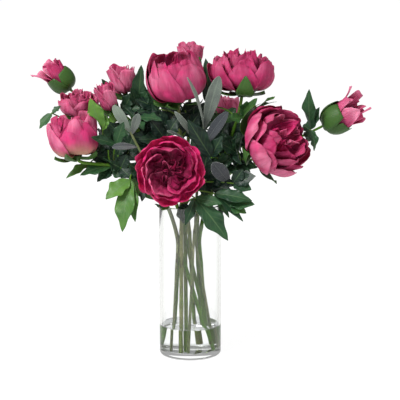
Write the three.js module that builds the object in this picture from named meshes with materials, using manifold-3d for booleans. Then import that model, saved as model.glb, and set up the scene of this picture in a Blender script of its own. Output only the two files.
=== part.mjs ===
// Peonies with lamb's ear in a clear glass cylinder vase: one THREE.Group of named meshes, in millimetres,
// +Z up, with its origin at the centre of the vase's underside.
import * as THREE from "three";
import { mergeVertices } from "three/addons/utils/BufferGeometryUtils.js";
import Module from "manifold-3d";

const wasm = await Module();
wasm.setup();

// The vase and its water
const VASE_RADIUS = 50;
const VASE_HEIGHT = 250;
const VASE_WALL = 3.3;
const VASE_FLOOR = 10;
const HEEL_RADIUS = 6;
const WATER_LEVEL = 50;
const VASE_SIDES = 24;
const GAP = 0.3;

// Stems and blades
const STEM_RADIUS = 3.2;
const SPRIG_RADIUS = 2.3;
const BRANCH_RADIUS = 2.2;
const PETIOLE_RADIUS = 1.4;
const STEM_SIDES = 6;
const BEND_STEPS = 7;
const NECK_HEIGHT = 180;
const UPTURN = 0.4;
const PETAL_THICKNESS = 0.8;
const LEAF_THICKNESS = 0.8;
const SEPAL_THICKNESS = 1;
const LEAF_STEPS = 4;
const ROOT_INSET = 0.6;

const v3 = (x, y, z) => new THREE.Vector3(x, y, z);
const TAU = 2 * Math.PI;

// A fixed number between 0 and 1 for each count, which varies petals and leaves.
function chance(count) {
  const raw = Math.sin(count * 12.9898 + 78.233) * 43758.5453;
  return raw - Math.floor(raw);
}

function bezier([a, b, c, d], t) {
  const s = 1 - t;
  return a * s * s * s + 3 * b * s * s * t + 3 * c * s * t * t + d * t * t * t;
}

function bezierSlope([a, b, c, d], t) {
  const s = 1 - t;
  return 3 * ((b - a) * s * s + 2 * (c - b) * s * t + (d - c) * t * t);
}

// Closed geometries as solids that can be joined and cut, and back

function solidOf(geometry) {
  const bare = new THREE.BufferGeometry();
  bare.setAttribute("position", geometry.getAttribute("position"));
  bare.setIndex(geometry.index);
  const merged = mergeVertices(bare, 1e-4);
  return new wasm.Manifold(
    new wasm.Mesh({
      numProp: 3,
      vertProperties: merged.getAttribute("position").array,
      triVerts: new Uint32Array(merged.index.array),
    }),
  );
}

function geometryOf(solid) {
  const made = solid.getMesh();
  const geometry = new THREE.BufferGeometry();
  geometry.setAttribute("position", new THREE.BufferAttribute(made.vertProperties, made.numProp));
  geometry.setIndex(new THREE.BufferAttribute(made.triVerts, 1));
  geometry.computeVertexNormals();
  return geometry;
}

function joined(geometries) {
  return geometries.map(solidOf).reduce((all, one) => all.add(one));
}

// A thin closed blade round rows of points, with the same diagonals on both faces.
function blade(rows, thickness) {
  const last = rows.length - 1;
  const side = rows[0].length - 1;
  const width = side + 1;
  const front = [];
  const back = [];
  rows.forEach((row, i) => {
    row.forEach((point, j) => {
      const along = rows[Math.min(i + 1, last)][j].clone().sub(rows[Math.max(i - 1, 0)][j]);
      const across = row[Math.min(j + 1, side)].clone().sub(row[Math.max(j - 1, 0)]);
      const half = across.cross(along).normalize().multiplyScalar(thickness / 2);
      front.push(point.clone().add(half));
      back.push(point.clone().sub(half));
    });
  });
  const under = front.length;
  const index = [];
  for (let i = 0; i < last; i++) {
    for (let j = 0; j < side; j++) {
      const a = i * width + j;
      const [b, c, d] = [a + 1, a + 1 + width, a + width];
      index.push(a, b, c, a, c, d);
      index.push(under + a, under + c, under + b, under + a, under + d, under + c);
    }
  }
  const rim = [];
  for (let j = 0; j < side; j++) rim.push(j);
  for (let i = 0; i < last; i++) rim.push(i * width + side);
  for (let j = side; j > 0; j--) rim.push(last * width + j);
  for (let i = last; i > 0; i--) rim.push(i * width);
  rim.forEach((p, k) => {
    const q = rim[(k + 1) % rim.length];
    index.push(q, p, under + p, q, under + p, under + q);
  });
  const geometry = new THREE.BufferGeometry().setFromPoints([...front, ...back]);
  geometry.setIndex(index);
  return geometry;
}

function tube(path, radius, sides, steps) {
  const section = new THREE.Shape();
  for (let k = 0; k < sides; k++) {
    const turn = (k / sides) * TAU;
    const corner = [radius * Math.cos(turn), radius * Math.sin(turn)];
    if (k === 0) section.moveTo(...corner);
    else section.lineTo(...corner);
  }
  section.closePath();
  return new THREE.ExtrudeGeometry(section, { steps, bevelEnabled: false, extrudePath: path });
}

// Turns a profile of [radius, height] points about +Z, and stands it on a point along an aim.
function turned(profile, sides, seat, aim) {
  const points = profile.map(([r, z]) => new THREE.Vector2(r, z));
  const geometry = new THREE.LatheGeometry(points, sides);
  geometry.rotateX(Math.PI / 2);
  if (aim) geometry.applyQuaternion(new THREE.Quaternion().setFromUnitVectors(v3(0, 0, 1), aim));
  if (seat) geometry.translate(seat.x, seat.y, seat.z);
  return geometry;
}

// A stem: straight from its foot to the neck of the bunch, then bent over to where its bloom sits.
// Its steps fall where it bends, with one step for the straight part.
class StemPath extends THREE.Curve {
  constructor(foot, neck, seat, aim, lift, reach) {
    super();
    this.foot = foot;
    this.neck = neck;
    const rise = neck.clone().sub(foot).normalize().lerp(v3(0, 0, 1), UPTURN);
    this.bend = new THREE.CubicBezierCurve3(
      neck,
      neck.clone().addScaledVector(rise, lift),
      seat.clone().addScaledVector(aim, -reach),
      seat,
    );
  }

  getPoint(t) {
    const straight = 1 / (BEND_STEPS + 1);
    if (t < straight) return this.foot.clone().lerp(this.neck, t / straight);
    return this.bend.getPoint((t - straight) / (1 - straight));
  }

  getPointAt(t) {
    return this.getPoint(t);
  }

  getTangentAt(t) {
    return this.getTangent(t);
  }
}

// Blooms

// Each layer of petals: how many, their side profile as four [radius, height] points in bloom radii, how far
// each spreads beyond its share of the circle, how much one side lies outside the next petal, how much its
// edge is waved and rounded, and its [steps along, steps across].
const layer = (count, radii, heights, spread, shift, wave, rounding, steps) => ({
  count,
  radii,
  heights,
  spread,
  shift,
  wave,
  rounding,
  steps,
});

const OPEN = {
  core: [0.3, 0.22],
  layers: [
    layer(5, [0.2, 0.86, 1.14, 1.02], [0.1, -0.12, 0.24, 0.56], 1.18, 0.035, 0.03, 0.18, [3, 2]),
    layer(5, [0.2, 0.7, 1.02, 0.86], [0.2, 0.02, 0.34, 0.7], 1.1, 0.045, 0.03, 0.16, [2, 2]),
    layer(4, [0.2, 0.6, 0.88, 0.66], [0.26, 0.1, 0.44, 0.82], 1.08, 0.05, 0.03, 0.14, [2, 1]),
    layer(3, [0.16, 0.34, 0.5, 0.34], [0.2, 0.08, 0.2, 0.5], 0.8, 0.03, 0.04, 0.2, [1, 1]),
  ],
};
const GLOBE = {
  core: [0.32, 0.4],
  layers: [
    layer(5, [0.2, 0.94, 1.16, 0.96], [0.08, -0.1, 0.42, 0.82], 1.18, 0.045, 0.03, 0.2, [3, 2]),
    layer(4, [0.2, 0.82, 1.04, 0.84], [0.16, 0.02, 0.52, 0.94], 1.1, 0.05, 0.03, 0.16, [2, 2]),
    layer(3, [0.18, 0.56, 0.76, 0.58], [0.3, 0.26, 0.64, 1.04], 1.08, 0.05, 0.03, 0.14, [2, 1]),
    layer(3, [0.12, 0.2, 0.3, 0.34], [0.36, 0.44, 0.62, 0.94], 0.62, 0.03, 0.04, 0.2, [1, 1]),
  ],
};
const CUP = {
  core: [0.32, 0.44],
  layers: [
    layer(4, [0.2, 1.0, 1.2, 0.62], [0.08, -0.12, 0.7, 1.14], 1.3, 0.045, 0.03, 0.2, [3, 2]),
    layer(4, [0.2, 0.76, 1.04, 0.5], [0.22, 0.1, 0.74, 1.24], 1.06, 0.05, 0.03, 0.16, [2, 2]),
    layer(3, [0.16, 0.46, 0.66, 0.4], [0.36, 0.38, 0.72, 1.02], 1.04, 0.05, 0.03, 0.14, [2, 1]),
    layer(2, [0.14, 0.18, 0.24, 0.14], [0.42, 0.48, 0.66, 0.88], 0.8, 0.03, 0.03, 0.2, [1, 1]),
  ],
};
const LOOSE = {
  core: [0.32, 0.44],
  layers: [
    layer(4, [0.2, 1.0, 1.2, 0.76], [0.08, -0.14, 0.6, 1.06], 1.3, 0.045, 0.03, 0.2, [3, 2]),
    layer(4, [0.2, 0.78, 1.0, 0.68], [0.2, 0.1, 0.7, 1.24], 1.06, 0.05, 0.03, 0.18, [2, 2]),
    layer(3, [0.16, 0.46, 0.66, 0.48], [0.36, 0.4, 0.76, 1.2], 1.04, 0.05, 0.03, 0.16, [2, 1]),
  ],
};
const DOME = {
  core: [0.36, 0.5],
  layers: [
    layer(5, [0.2, 0.94, 1.2, 0.98], [0.08, -0.1, 0.46, 0.88], 1.2, 0.045, 0.03, 0.2, [3, 2]),
    layer(5, [0.2, 0.7, 0.92, 0.7], [0.26, 0.2, 0.66, 1.14], 1.1, 0.05, 0.03, 0.2, [2, 2]),
    layer(3, [0.16, 0.38, 0.52, 0.38], [0.42, 0.46, 0.8, 1.24], 1, 0.04, 0.04, 0.24, [2, 1]),
  ],
};
const YOUNG = {
  core: [0.36, 0.58],
  layers: [
    layer(4, [0.2, 0.98, 1.22, 1.04], [0.1, -0.06, 0.66, 1.2], 1.15, 0.05, 0.04, 0.22, [2, 1]),
    layer(3, [0.2, 0.6, 0.78, 0.62], [0.36, 0.34, 0.84, 1.44], 1, 0.05, 0.04, 0.2, [2, 1]),
    layer(2, [0.16, 0.22, 0.26, 0.2], [0.5, 0.6, 0.96, 1.46], 0.9, 0.03, 0.04, 0.25, [1, 1]),
  ],
};
const FLARE = {
  core: [0.36, 0.58],
  layers: [
    layer(4, [0.2, 0.94, 0.96, 1.14], [0.1, -0.06, 0.74, 1.24], 1.1, 0.05, 0.04, 0.22, [2, 1]),
    layer(3, [0.2, 0.54, 0.6, 0.68], [0.36, 0.34, 0.94, 1.5], 1.1, 0.05, 0.04, 0.22, [2, 1]),
    layer(2, [0.14, 0.24, 0.3, 0.3], [0.44, 0.5, 0.96, 1.46], 0.9, 0.03, 0.04, 0.25, [1, 1]),
  ],
};
const BUD = {
  core: [0.4, 0.9],
  layers: [
    layer(4, [0.3, 1.0, 0.9, 1.3], [0.14, 0.2, 1.5, 2.3], 1.1, 0.06, 0.04, 0.24, [2, 2]),
    layer(2, [0.2, 0.5, 0.5, 0.6], [0.4, 0.7, 1.5, 2.4], 0.9, 0.04, 0.04, 0.3, [1, 1]),
  ],
};

// Each bloom: its form, radius, the centre of its underside, the way it faces, its height as a share of its
// form's, a number that varies it, its colour, how far its petals are turned, and its sepals' turn and length.
const bloom = (form, radius, seat, aim, rise, seed, colour, turn = 0, calyxTurn = 0, calyxLength = 1) => ({
  form,
  radius,
  seat: v3(...seat),
  aim: v3(...aim).normalize(),
  rise,
  seed,
  colour,
  turn,
  calyxTurn,
  calyxLength,
});
const BLOOMS = {
  front: bloom(OPEN, 51, [-31, -54, 316], [-0.05, -0.99, 0.08], 0.9, 1, "#b0295a"),
  right: bloom(GLOBE, 56, [116, -6, 344], [0.7, -0.6, 0.38], 1.12, 2, "#c4447a"),
  top: bloom(CUP, 48, [-20, 2, 420], [-0.1, -0.15, 0.98], 1.28, 3, "#c04578", 1, 0.3, 0.6),
  crown: bloom(DOME, 49, [83, 20, 430], [0, 0.12, 0.98], 1.12, 4, "#c8557f", 0, -0.6, 0.95),
  left: bloom(LOOSE, 39, [-180, -31, 334], [-0.12, 0.1, 0.98], 1.3, 5, "#c4507f", -1.6, 0.4, 0.7),
  above: bloom(YOUNG, 29, [-179, 52, 385], [-0.05, -0.1, 1], 0.95, 6, "#c0487a"),
  back_left: bloom(FLARE, 21, [-105, 46, 422], [-0.14, 0, 0.98], 1.68, 7, "#c0487a"),
  small_left: bloom(FLARE, 15, [-126, 2, 402], [-0.3, -0.1, 0.93], 2.2, 8, "#c4507f"),
  behind: bloom(FLARE, 20, [0, 76, 462], [0, 0.2, 0.97], 1.35, 9, "#c4507f"),
  far_right: bloom(YOUNG, 20, [56, 104, 374], [0.15, 0.3, 0.93], 1.2, 10, "#c96088"),
  bud_left: bloom(BUD, 18, [-199, 98, 422], [-0.67, -0.1, 0.74], 1.5, 11, "#c0487a"),
  bud_right: bloom(BUD, 21, [218, 30, 373], [0.84, -0.3, 0.53], 1.55, 12, "#c0487a", 0, 0, 0.96),
};

// A bloom's own frame as a function from its radius, angle and height to a point.
function bloomFrame({ seat, aim }) {
  const turn = new THREE.Quaternion().setFromUnitVectors(v3(0, 0, 1), aim);
  return (radius, angle, height) =>
    v3(radius * Math.cos(angle), radius * Math.sin(angle), height).applyQuaternion(turn).add(seat);
}

// One petal's points: rows run from its root to its edge, and columns from side to side.
function petalRows(flower, petals, k) {
  const place = bloomFrame(flower);
  const { radius, rise, seed, turn } = flower;
  const [steps, across] = petals.steps;
  const count = seed * 100 + petals.radii[1] * 1000 + k;
  const middle = ((k + 0.5 * chance(petals.radii[3] * 100)) / petals.count) * TAU + turn;
  const lean = 0.05 * (chance(count + 1) - 0.5);
  const size = 1 - 0.1 * chance(count + 2);
  const phase = TAU * chance(count + 3);
  const rows = [];
  for (let i = 0; i <= steps; i++) {
    const row = [];
    for (let j = 0; j <= across; j++) {
      const v = i / steps;
      const u = (2 * j) / across - 1;
      const t = v * size * (1 - petals.rounding * u * u);
      const wave = petals.wave * v * v * v * Math.sin(3.2 * u + phase);
      const outward = petals.shift * u + lean * v + wave;
      const run = bezierSlope(petals.radii, t);
      const climb = bezierSlope(petals.heights, t);
      const slope = Math.hypot(run, climb);
      const out = Math.max(0.04, bezier(petals.radii, t) + (outward * climb) / slope);
      const up = bezier(petals.heights, t) - (outward * run) / slope;
      const half = ((petals.spread * Math.PI) / petals.count) * (1 - 0.25 * v * v * u * u);
      row.push(place(radius * out, middle + u * half, radius * rise * up));
    }
    rows.push(row);
  }
  return rows;
}

function bloomSolid(flower) {
  const [coreRadius, coreHeight] = flower.form.core;
  const wide = coreRadius * flower.radius;
  const high = coreHeight * flower.radius * flower.rise;
  const core = turned(
    [
      [0, 0],
      [0.55 * wide, 0],
      [wide, 0.5 * high],
      [0.5 * wide, high],
      [0, high],
    ],
    6,
    flower.seat,
    flower.aim,
  );
  const petals = flower.form.layers.flatMap((petals) =>
    Array.from({ length: petals.count }, (_, k) => blade(petalRows(flower, petals, k), PETAL_THICKNESS)),
  );
  return joined([core, ...petals]);
}

// Receptacle and sepals under a bloom. A bud's sepals close round it as a cup.
const SEPALS = {
  open: { count: 5, radii: [0.1, 0.4, 0.66, 0.9], heights: [0, -0.34, -0.34, -0.2], half: 0.3 },
  cup: { count: 5, radii: [0.1, 0.78, 1.14, 1.22], heights: [0, -0.22, 0, 0.56], half: 0.3 },
  young: { count: 4, radii: [0.1, 0.7, 1.2, 1.16], heights: [0, -0.44, -0.1, 0.6], half: 0.4 },
  bud: { count: 4, radii: [0.1, 1.24, 1.38, 1.06], heights: [0, -0.12, 0.74, 1.3], half: 0.72 },
};
const RECEPTACLE = 0.24;

function sepalsOf(flower) {
  if (flower.form === OPEN) return SEPALS.open;
  if (flower.form === BUD) return SEPALS.bud;
  return flower.form === YOUNG || flower.form === FLARE ? SEPALS.young : SEPALS.cup;
}

function calyx(flower) {
  const place = bloomFrame(flower);
  const { radius, rise, seed, seat, aim, calyxTurn, calyxLength } = flower;
  const wide = Math.max(RECEPTACLE * radius, 5);
  const deep = 0.9 * wide;
  const { count, radii, heights, half } = sepalsOf(flower);
  const made = [
    turned(
      [
        [0, -deep - GAP],
        [0.5 * wide, -deep - GAP],
        [wide, -GAP],
        [0, -GAP],
      ],
      count,
      seat,
      aim,
    ),
  ];
  const steps = flower.form === BUD ? 3 : 2;
  for (let k = 0; k < count; k++) {
    const middle = ((k + 0.5) / count - 0.25) * TAU + calyxTurn + 0.2 * (chance(seed * 10 + k) - 0.5);
    const long = (1 - (flower.form === BUD ? 0.1 : 0.3) * chance(seed * 20 + k)) * calyxLength;
    const rows = [];
    for (let i = 0; i <= steps; i++) {
      const t = (i / steps) * long;
      const taper = Math.sin(Math.PI * Math.min(0.98, 0.22 + 0.76 * (i / steps)));
      const row = [-1, 1].map((u) =>
        place(
          radius * (bezier(radii, t) + 0.04 * u),
          middle + u * half * Math.max(0.1, taper),
          radius * rise * bezier(heights, t) - 0.4 * wide * (1 - i / steps),
        ),
      );
      rows.push(row);
    }
    made.push(blade(rows, SEPAL_THICKNESS));
  }
  return made;
}

// Stems

// Each stem: its foot and its neck as [x, y], the bloom it carries, how far it keeps straight on above the
// neck, and how long it is bent by the bloom's weight. Its side branches leave it part of the way up.
function stem(foot, neck, carries, lift, reach, branches = []) {
  const lean = Math.hypot(neck[0] - foot[0], neck[1] - foot[1]) / (NECK_HEIGHT - VASE_FLOOR);
  const tilt = Math.sin(Math.atan(lean));
  return {
    foot: v3(...foot, VASE_FLOOR + GAP + STEM_RADIUS * tilt),
    neck: v3(...neck, NECK_HEIGHT),
    carries,
    lift,
    reach,
    branches,
  };
}
const STEMS = {
  front: stem([8, 38], [0, -4], "front", 90, 25),
  right: stem([-28, 27], [-18, 3], "right", 50, 30, [{ at: 0.55, carries: "bud_right" }]),
  top: stem([-14, -36], [-14, -20], "top", 80, 80),
  crown: stem([28, 27], [15, 12], "crown", 50, 50),
  left: stem([34, -19], [-17, -12], "left", 185, 30, [{ at: 0.4, carries: "above" }]),
  back_left: stem([35, 12], [-6, 20], "back_left", 110, 70, [
    { at: 0.7, carries: "small_left" },
    { at: 0.75, carries: "bud_left" },
  ]),
  behind: stem([-6, -28], [-8, 7], "behind", 90, 90),
  far_right: stem([20, 33], [11, 18], "far_right", 90, 80),
};

// The way of every stem and side branch, by the bloom at its end.
const ways = {};
for (const { foot, neck, carries, lift, reach, branches } of Object.values(STEMS)) {
  const { seat, aim } = BLOOMS[carries];
  ways[carries] = new StemPath(foot, neck, seat.clone().addScaledVector(aim, -3), aim, lift, reach);
  for (const { at, carries: bud } of branches) ways[bud] = branchPath(ways[carries], at, BLOOMS[bud]);
}

function branchPath(parent, at, flower) {
  const root = parent.getPoint(at);
  const along = parent.getTangent(at);
  const end = flower.seat.clone().addScaledVector(flower.aim, -3);
  const span = root.distanceTo(end);
  return new THREE.CubicBezierCurve3(
    root,
    root.clone().addScaledVector(along, 0.35 * span),
    end.clone().addScaledVector(flower.aim, -0.35 * span),
    end,
  );
}

// Leaves

// A petiole starts on its stem a little below the point nearest to the leaf, by a share of the stem's way.
function petiolePath(path, node, drop) {
  let best = 0.1;
  for (let t = 0.1; t <= 0.96; t += 0.01) {
    if (path.getPoint(t).distanceTo(node) < path.getPoint(best).distanceTo(node)) best = t;
  }
  const at = Math.max(0.08, best - drop);
  const root = path.getPoint(at);
  const span = root.distanceTo(node);
  const mid = root.clone().addScaledVector(path.getTangent(at), 0.5 * span);
  const end = node.clone().addScaledVector(node.clone().sub(mid).normalize(), PETIOLE_RADIUS);
  return new THREE.QuadraticBezierCurve3(root, mid, end);
}

// Moves a point out of the space that a bloom takes up.
function clearOfBlooms(point) {
  for (const { seat, aim, radius, rise, form } of Object.values(BLOOMS)) {
    const high = (form === OPEN ? 0.35 : 0.5) * radius * rise;
    const centre = seat.clone().addScaledVector(aim, high);
    const keep = (form === BUD ? 1.3 : 1.16) * radius + 2;
    const away = point.clone().sub(centre);
    if (away.length() < keep) point.copy(centre).addScaledVector(away.normalize(), keep);
  }
  return point;
}

// One leaflet's points, from its root to its tip: it arches over by sag, and folds a little along its rib.
function leafletRows(root, tip, half, face, sag, fold, lobes, blunt) {
  const span = root.distanceTo(tip);
  const start = root.clone().lerp(tip, ROOT_INSET / span);
  const mid = start.clone().lerp(tip, 0.5).addScaledVector(face, sag * span);
  const rib = new THREE.QuadraticBezierCurve3(start, mid, tip);
  const rows = [];
  for (let i = 0; i <= LEAF_STEPS; i++) {
    const t = i / LEAF_STEPS;
    const along = rib.getTangent(t);
    const across = along.clone().cross(face).normalize();
    const up = across.clone().cross(along).normalize();
    const shape = Math.pow(Math.sin(Math.PI * Math.pow(t, blunt ? 1.5 : 0.85)), blunt ? 0.55 : 0.9);
    const cut = 1 + lobes * Math.sin(t * 14);
    const wide = Math.max(0.5, half * shape * cut);
    const row = [-1, 1].map((u) => {
      const point = rib.getPoint(t);
      point.addScaledVector(across, u * wide);
      point.addScaledVector(up, Math.abs(u) * fold * wide);
      return clearOfBlooms(point);
    });
    rows.push(row);
  }
  return rows;
}

const leaf = (on, node, face, leaflets, options = {}) => ({
  on,
  node: v3(...node),
  face: v3(...face).normalize(),
  leaflets,
  sag: 0.12,
  fold: 0.18,
  lobes: 0.22,
  blunt: false,
  drop: 0.07,
  ...options,
});

// Each leaf: the bloom whose stem it grows on, where its leaflets meet, the way it faces, and each leaflet's
// tip and half width.
const LEAVES = [
  leaf("left", [-94, -56, 300], [-0.3, -0.8, 0.5], [
    [[-132, -75, 272], 14],
    [[-106, -85, 222], 16],
    [[-86, -76, 236], 11],
    [[-58, -30, 262], 11],
  ]),
  leaf("left", [-117, -36, 352], [0, -0.8, 0.6], [
    [[-158, -60, 368], 8],
    [[-104, -46, 390], 10],
  ]),
  leaf("left", [-124, -20, 316], [0, -0.6, 0.8], [
    [[-174, -38, 303], 12],
    [[-148, -20, 289], 12],
    [[-136, -48, 332], 9],
  ]),
  leaf("left", [-158, -6, 318], [0, -0.6, 0.8], [[[-198, -12, 293], 8]]),
  leaf(
    "above",
    [-221, 14, 394],
    [-0.3, -0.7, 0.6],
    [
      [[-241, 8, 370], 6],
      [[-207, 18, 405], 5],
    ],
    { drop: 0.25 },
  ),
  leaf("above", [-152, -28, 370], [-0.2, -0.9, 0.3], [
    [[-157, -36, 426], 13],
    [[-132, -30, 398], 8],
  ]),
  leaf("above", [-132, 36, 368], [0, -0.8, 0.6], [
    [[-150, 32, 398], 9],
    [[-112, 38, 398], 8],
  ]),
  leaf("back_left", [-88, 4, 388], [0, -0.5, 0.85], [
    [[-44, -34, 390], 11],
    [[-73, -38, 375], 9],
    [[-112, 18, 408], 7],
  ]),
  leaf("back_left", [-84, 34, 400], [0, -0.9, 0.3], [
    [[-78, 25, 470], 12],
    [[-94, 8, 436], 8],
    [[-66, 20, 430], 11],
  ]),
  leaf("crown", [88, 0, 388], [0, -0.8, 0.5], [
    [[88, -8, 430], 8],
    [[112, 0, 412], 11],
    [[62, -26, 390], 10],
  ]),
  leaf("crown", [100, 20, 392], [0, -0.8, 0.5], [[[139, 8, 410], 9]]),
  leaf("right", [84, -12, 334], [0, -0.7, 0.7], [
    [[44, -30, 355], 12],
    [[79, -38, 372], 12],
    [[80, -46, 322], 12],
  ]),
  leaf("front", [38, -50, 276], [0.3, -0.7, 0.6], [
    [[98, -60, 266], 12],
    [[84, -56, 232], 9],
    [[62, -46, 236], 8],
  ]),
  leaf("right", [70, -6, 312], [0.2, -0.7, 0.6], [
    [[98, -20, 292], 12],
    [[64, -36, 330], 10],
  ]),
  leaf("front", [8, -56, 270], [0.2, -0.9, 0.4], [
    [[60, -73, 205], 16],
    [[-8, -66, 228], 8],
  ]),
  leaf("crown", [34, -30, 330], [-0.2, -0.9, 0.4], [
    [[-3, -45, 393], 15],
    [[51, -36, 366], 11],
  ]),
  leaf("front", [-40, -14, 356], [0, -0.7, 0.6], [
    [[-63, -24, 390], 12],
    [[-18, -12, 392], 12],
    [[-84, -20, 356], 11],
  ]),
  leaf("bud_right", [186, 8, 366], [-0.3, -0.9, 0.3], [
    [[189, -8, 436], 11],
    [[206, 0, 406], 8],
    [[197, -4, 336], 12],
  ]),
  leaf("crown", [72, 44, 380], [0.2, 0.7, 0.7], [
    [[118, 70, 392], 11],
    [[112, 94, 384], 10],
  ]),
  leaf("behind", [-8, 48, 392], [0, 0.6, 0.8], [
    [[-52, 80, 412], 12],
    [[-12, 104, 384], 12],
  ]),
  leaf("back_left", [-58, 48, 344], [-0.2, 0.7, 0.7], [
    [[-108, 84, 356], 12],
    [[-58, 104, 344], 13],
  ]),
  leaf("far_right", [42, 62, 306], [0.3, 0.6, 0.7], [
    [[96, 84, 300], 13],
    [[44, 112, 296], 13],
  ]),
  leaf("right", [104, 18, 310], [0.4, 0.5, 0.7], [
    [[150, 40, 300], 12],
    [[116, 60, 322], 12],
  ]),
];

function leafGeometries(grown, path) {
  const { face, leaflets, sag, fold, lobes, blunt, drop } = grown;
  const node = clearOfBlooms(grown.node.clone());
  const blades = leaflets.map(([tip, half]) =>
    blade(leafletRows(node, v3(...tip), half, face, sag, fold, lobes, blunt), LEAF_THICKNESS),
  );
  return [tube(petiolePath(path, node, drop), PETIOLE_RADIUS, 4, 2), ...blades];
}

function stemSolid({ carries, branches }) {
  const made = [tube(ways[carries], STEM_RADIUS, STEM_SIDES, BEND_STEPS + 1), ...calyx(BLOOMS[carries])];
  const buds = branches.map((branch) => branch.carries);
  for (const bud of buds) made.push(tube(ways[bud], BRANCH_RADIUS, 5, 5), ...calyx(BLOOMS[bud]));
  for (const grown of LEAVES) {
    if (grown.on === carries || buds.includes(grown.on)) made.push(...leafGeometries(grown, ways[grown.on]));
  }
  return joined(made);
}

// Lamb's ear: a thin stem with velvet leaves, each given by its place on the stem, its tip and half width.
const sprig = (foot, neck, end, aim, leaves) => ({
  path: new StemPath(
    v3(...foot, VASE_FLOOR + GAP + SPRIG_RADIUS * 0.2),
    v3(...neck, NECK_HEIGHT),
    v3(...end),
    v3(...aim).normalize(),
    60,
    50,
  ),
  leaves,
});
const SPRIGS = {
  centre: sprig([38, -3], [10, -9], [22, -12, 376], [0.1, 0, 1], [
    [0.98, [-4, -62, 463], 4, [0.9, -0.4, 0]],
    [0.97, [46, -34, 461], 11, [0, -1, 0.1]],
    [0.84, [-24, -40, 406], 5, [0, -1, 0.3]],
    [0.8, [60, -34, 404], 10, [-0.4, -0.8, 0.3]],
    [0.76, [-36, -44, 376], 6, [0, -0.8, 0.6]],
  ]),
  right: sprig([-3, -38], [5, -21], [68, -24, 290], [0.9, -0.1, 0.3], [
    [0.97, [36, -70, 330], 12, [0.3, -0.8, -0.4]],
    [0.98, [106, -48, 308], 9, [0, -0.8, 0.5]],
    [0.85, [50, -52, 238], 4, [0, -1, 0.2]],
  ]),
  left: sprig([-28, -25], [-20, -21], [-94, -34, 372], [-0.4, 0, 0.9], [
    [0.98, [-121, -30, 414], 8, [0, -0.9, 0.4]],
    [0.86, [-122, -62, 352], 7, [0, -0.7, 0.7]],
    [0.97, [-80, -52, 404], 7, [0, -0.9, 0.4]],
  ]),
};

function sprigSolid({ path, leaves }) {
  const blades = leaves.map(([at, tip, half, face]) => {
    const rows = leafletRows(path.getPoint(at), v3(...tip), half, v3(...face).normalize(), 0.1, 0.2, 0, true);
    return blade(rows, LEAF_THICKNESS);
  });
  return joined([tube(path, SPRIG_RADIUS, 5, BEND_STEPS + 1), ...blades]);
}

// The vase

function vaseSolid() {
  const inner = VASE_RADIUS - VASE_WALL;
  const profile = [[0, 0]];
  for (let k = 0; k <= 2; k++) {
    const turn = (k / 2) * (Math.PI / 2);
    const inset = HEEL_RADIUS * (1 - Math.sin(turn));
    profile.push([VASE_RADIUS - inset, HEEL_RADIUS * (1 - Math.cos(turn))]);
  }
  const lip = VASE_WALL / 2;
  profile.push([VASE_RADIUS, VASE_HEIGHT - lip]);
  profile.push([VASE_RADIUS - lip, VASE_HEIGHT]);
  profile.push([inner, VASE_HEIGHT - lip]);
  profile.push([inner, VASE_FLOOR + HEEL_RADIUS / 2]);
  profile.push([inner - HEEL_RADIUS / 2, VASE_FLOOR]);
  profile.push([0, VASE_FLOOR]);
  return solidOf(turned(profile, VASE_SIDES));
}

// The water, with a plain hole round each stem that stands in it.
function waterSolid() {
  const edge = VASE_RADIUS - VASE_WALL - GAP;
  const foot = VASE_FLOOR + GAP;
  const body = turned(
    [
      [0, foot],
      [edge - HEEL_RADIUS / 2, foot],
      [edge, foot + HEEL_RADIUS / 2],
      [edge, WATER_LEVEL],
      [0, WATER_LEVEL],
    ],
    VASE_SIDES,
  );
  const standing = Object.values(STEMS).map(({ carries }) => [ways[carries], STEM_RADIUS]);
  for (const { path } of Object.values(SPRIGS)) standing.push([path, SPRIG_RADIUS]);
  return standing.reduce((water, [{ foot: start, neck }, radius]) => {
    const rise = neck.clone().sub(start).normalize();
    const below = start.clone().addScaledVector(rise, -6);
    const line = new THREE.LineCurve3(below, below.clone().addScaledVector(rise, WATER_LEVEL + 10));
    return water.subtract(solidOf(tube(line, (radius + GAP) / Math.cos(Math.PI / 6), 6, 1)));
  }, solidOf(body));
}

const bouquet = new THREE.Group();

function place(name, solid, look) {
  const mesh = new THREE.Mesh(geometryOf(solid), new THREE.MeshStandardMaterial(look));
  mesh.name = name;
  bouquet.add(mesh);
}

place("vase", vaseSolid(), { color: "#eef2ee", roughness: 0.05, transparent: true, opacity: 0.3 });
place("water", waterSolid(), { color: "#e8f0ee", roughness: 0.05, transparent: true, opacity: 0.3 });
for (const [name, stalk] of Object.entries(STEMS)) {
  place("stem_" + name, stemSolid(stalk), { color: "#3f6b35", roughness: 0.6 });
}
for (const [name, shoot] of Object.entries(SPRIGS)) {
  place("lambs_ear_" + name, sprigSolid(shoot), { color: "#7a8c80", roughness: 0.9 });
}
for (const [name, flower] of Object.entries(BLOOMS)) {
  place("bloom_" + name, bloomSolid(flower), { color: flower.colour, roughness: 0.8 });
}

export default bouquet;
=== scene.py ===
"""Peonies with lamb's ear in a clear glass cylinder vase, laid out as an add-on and run as a script."""

import math
from dataclasses import dataclass
from typing import NamedTuple

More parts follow.
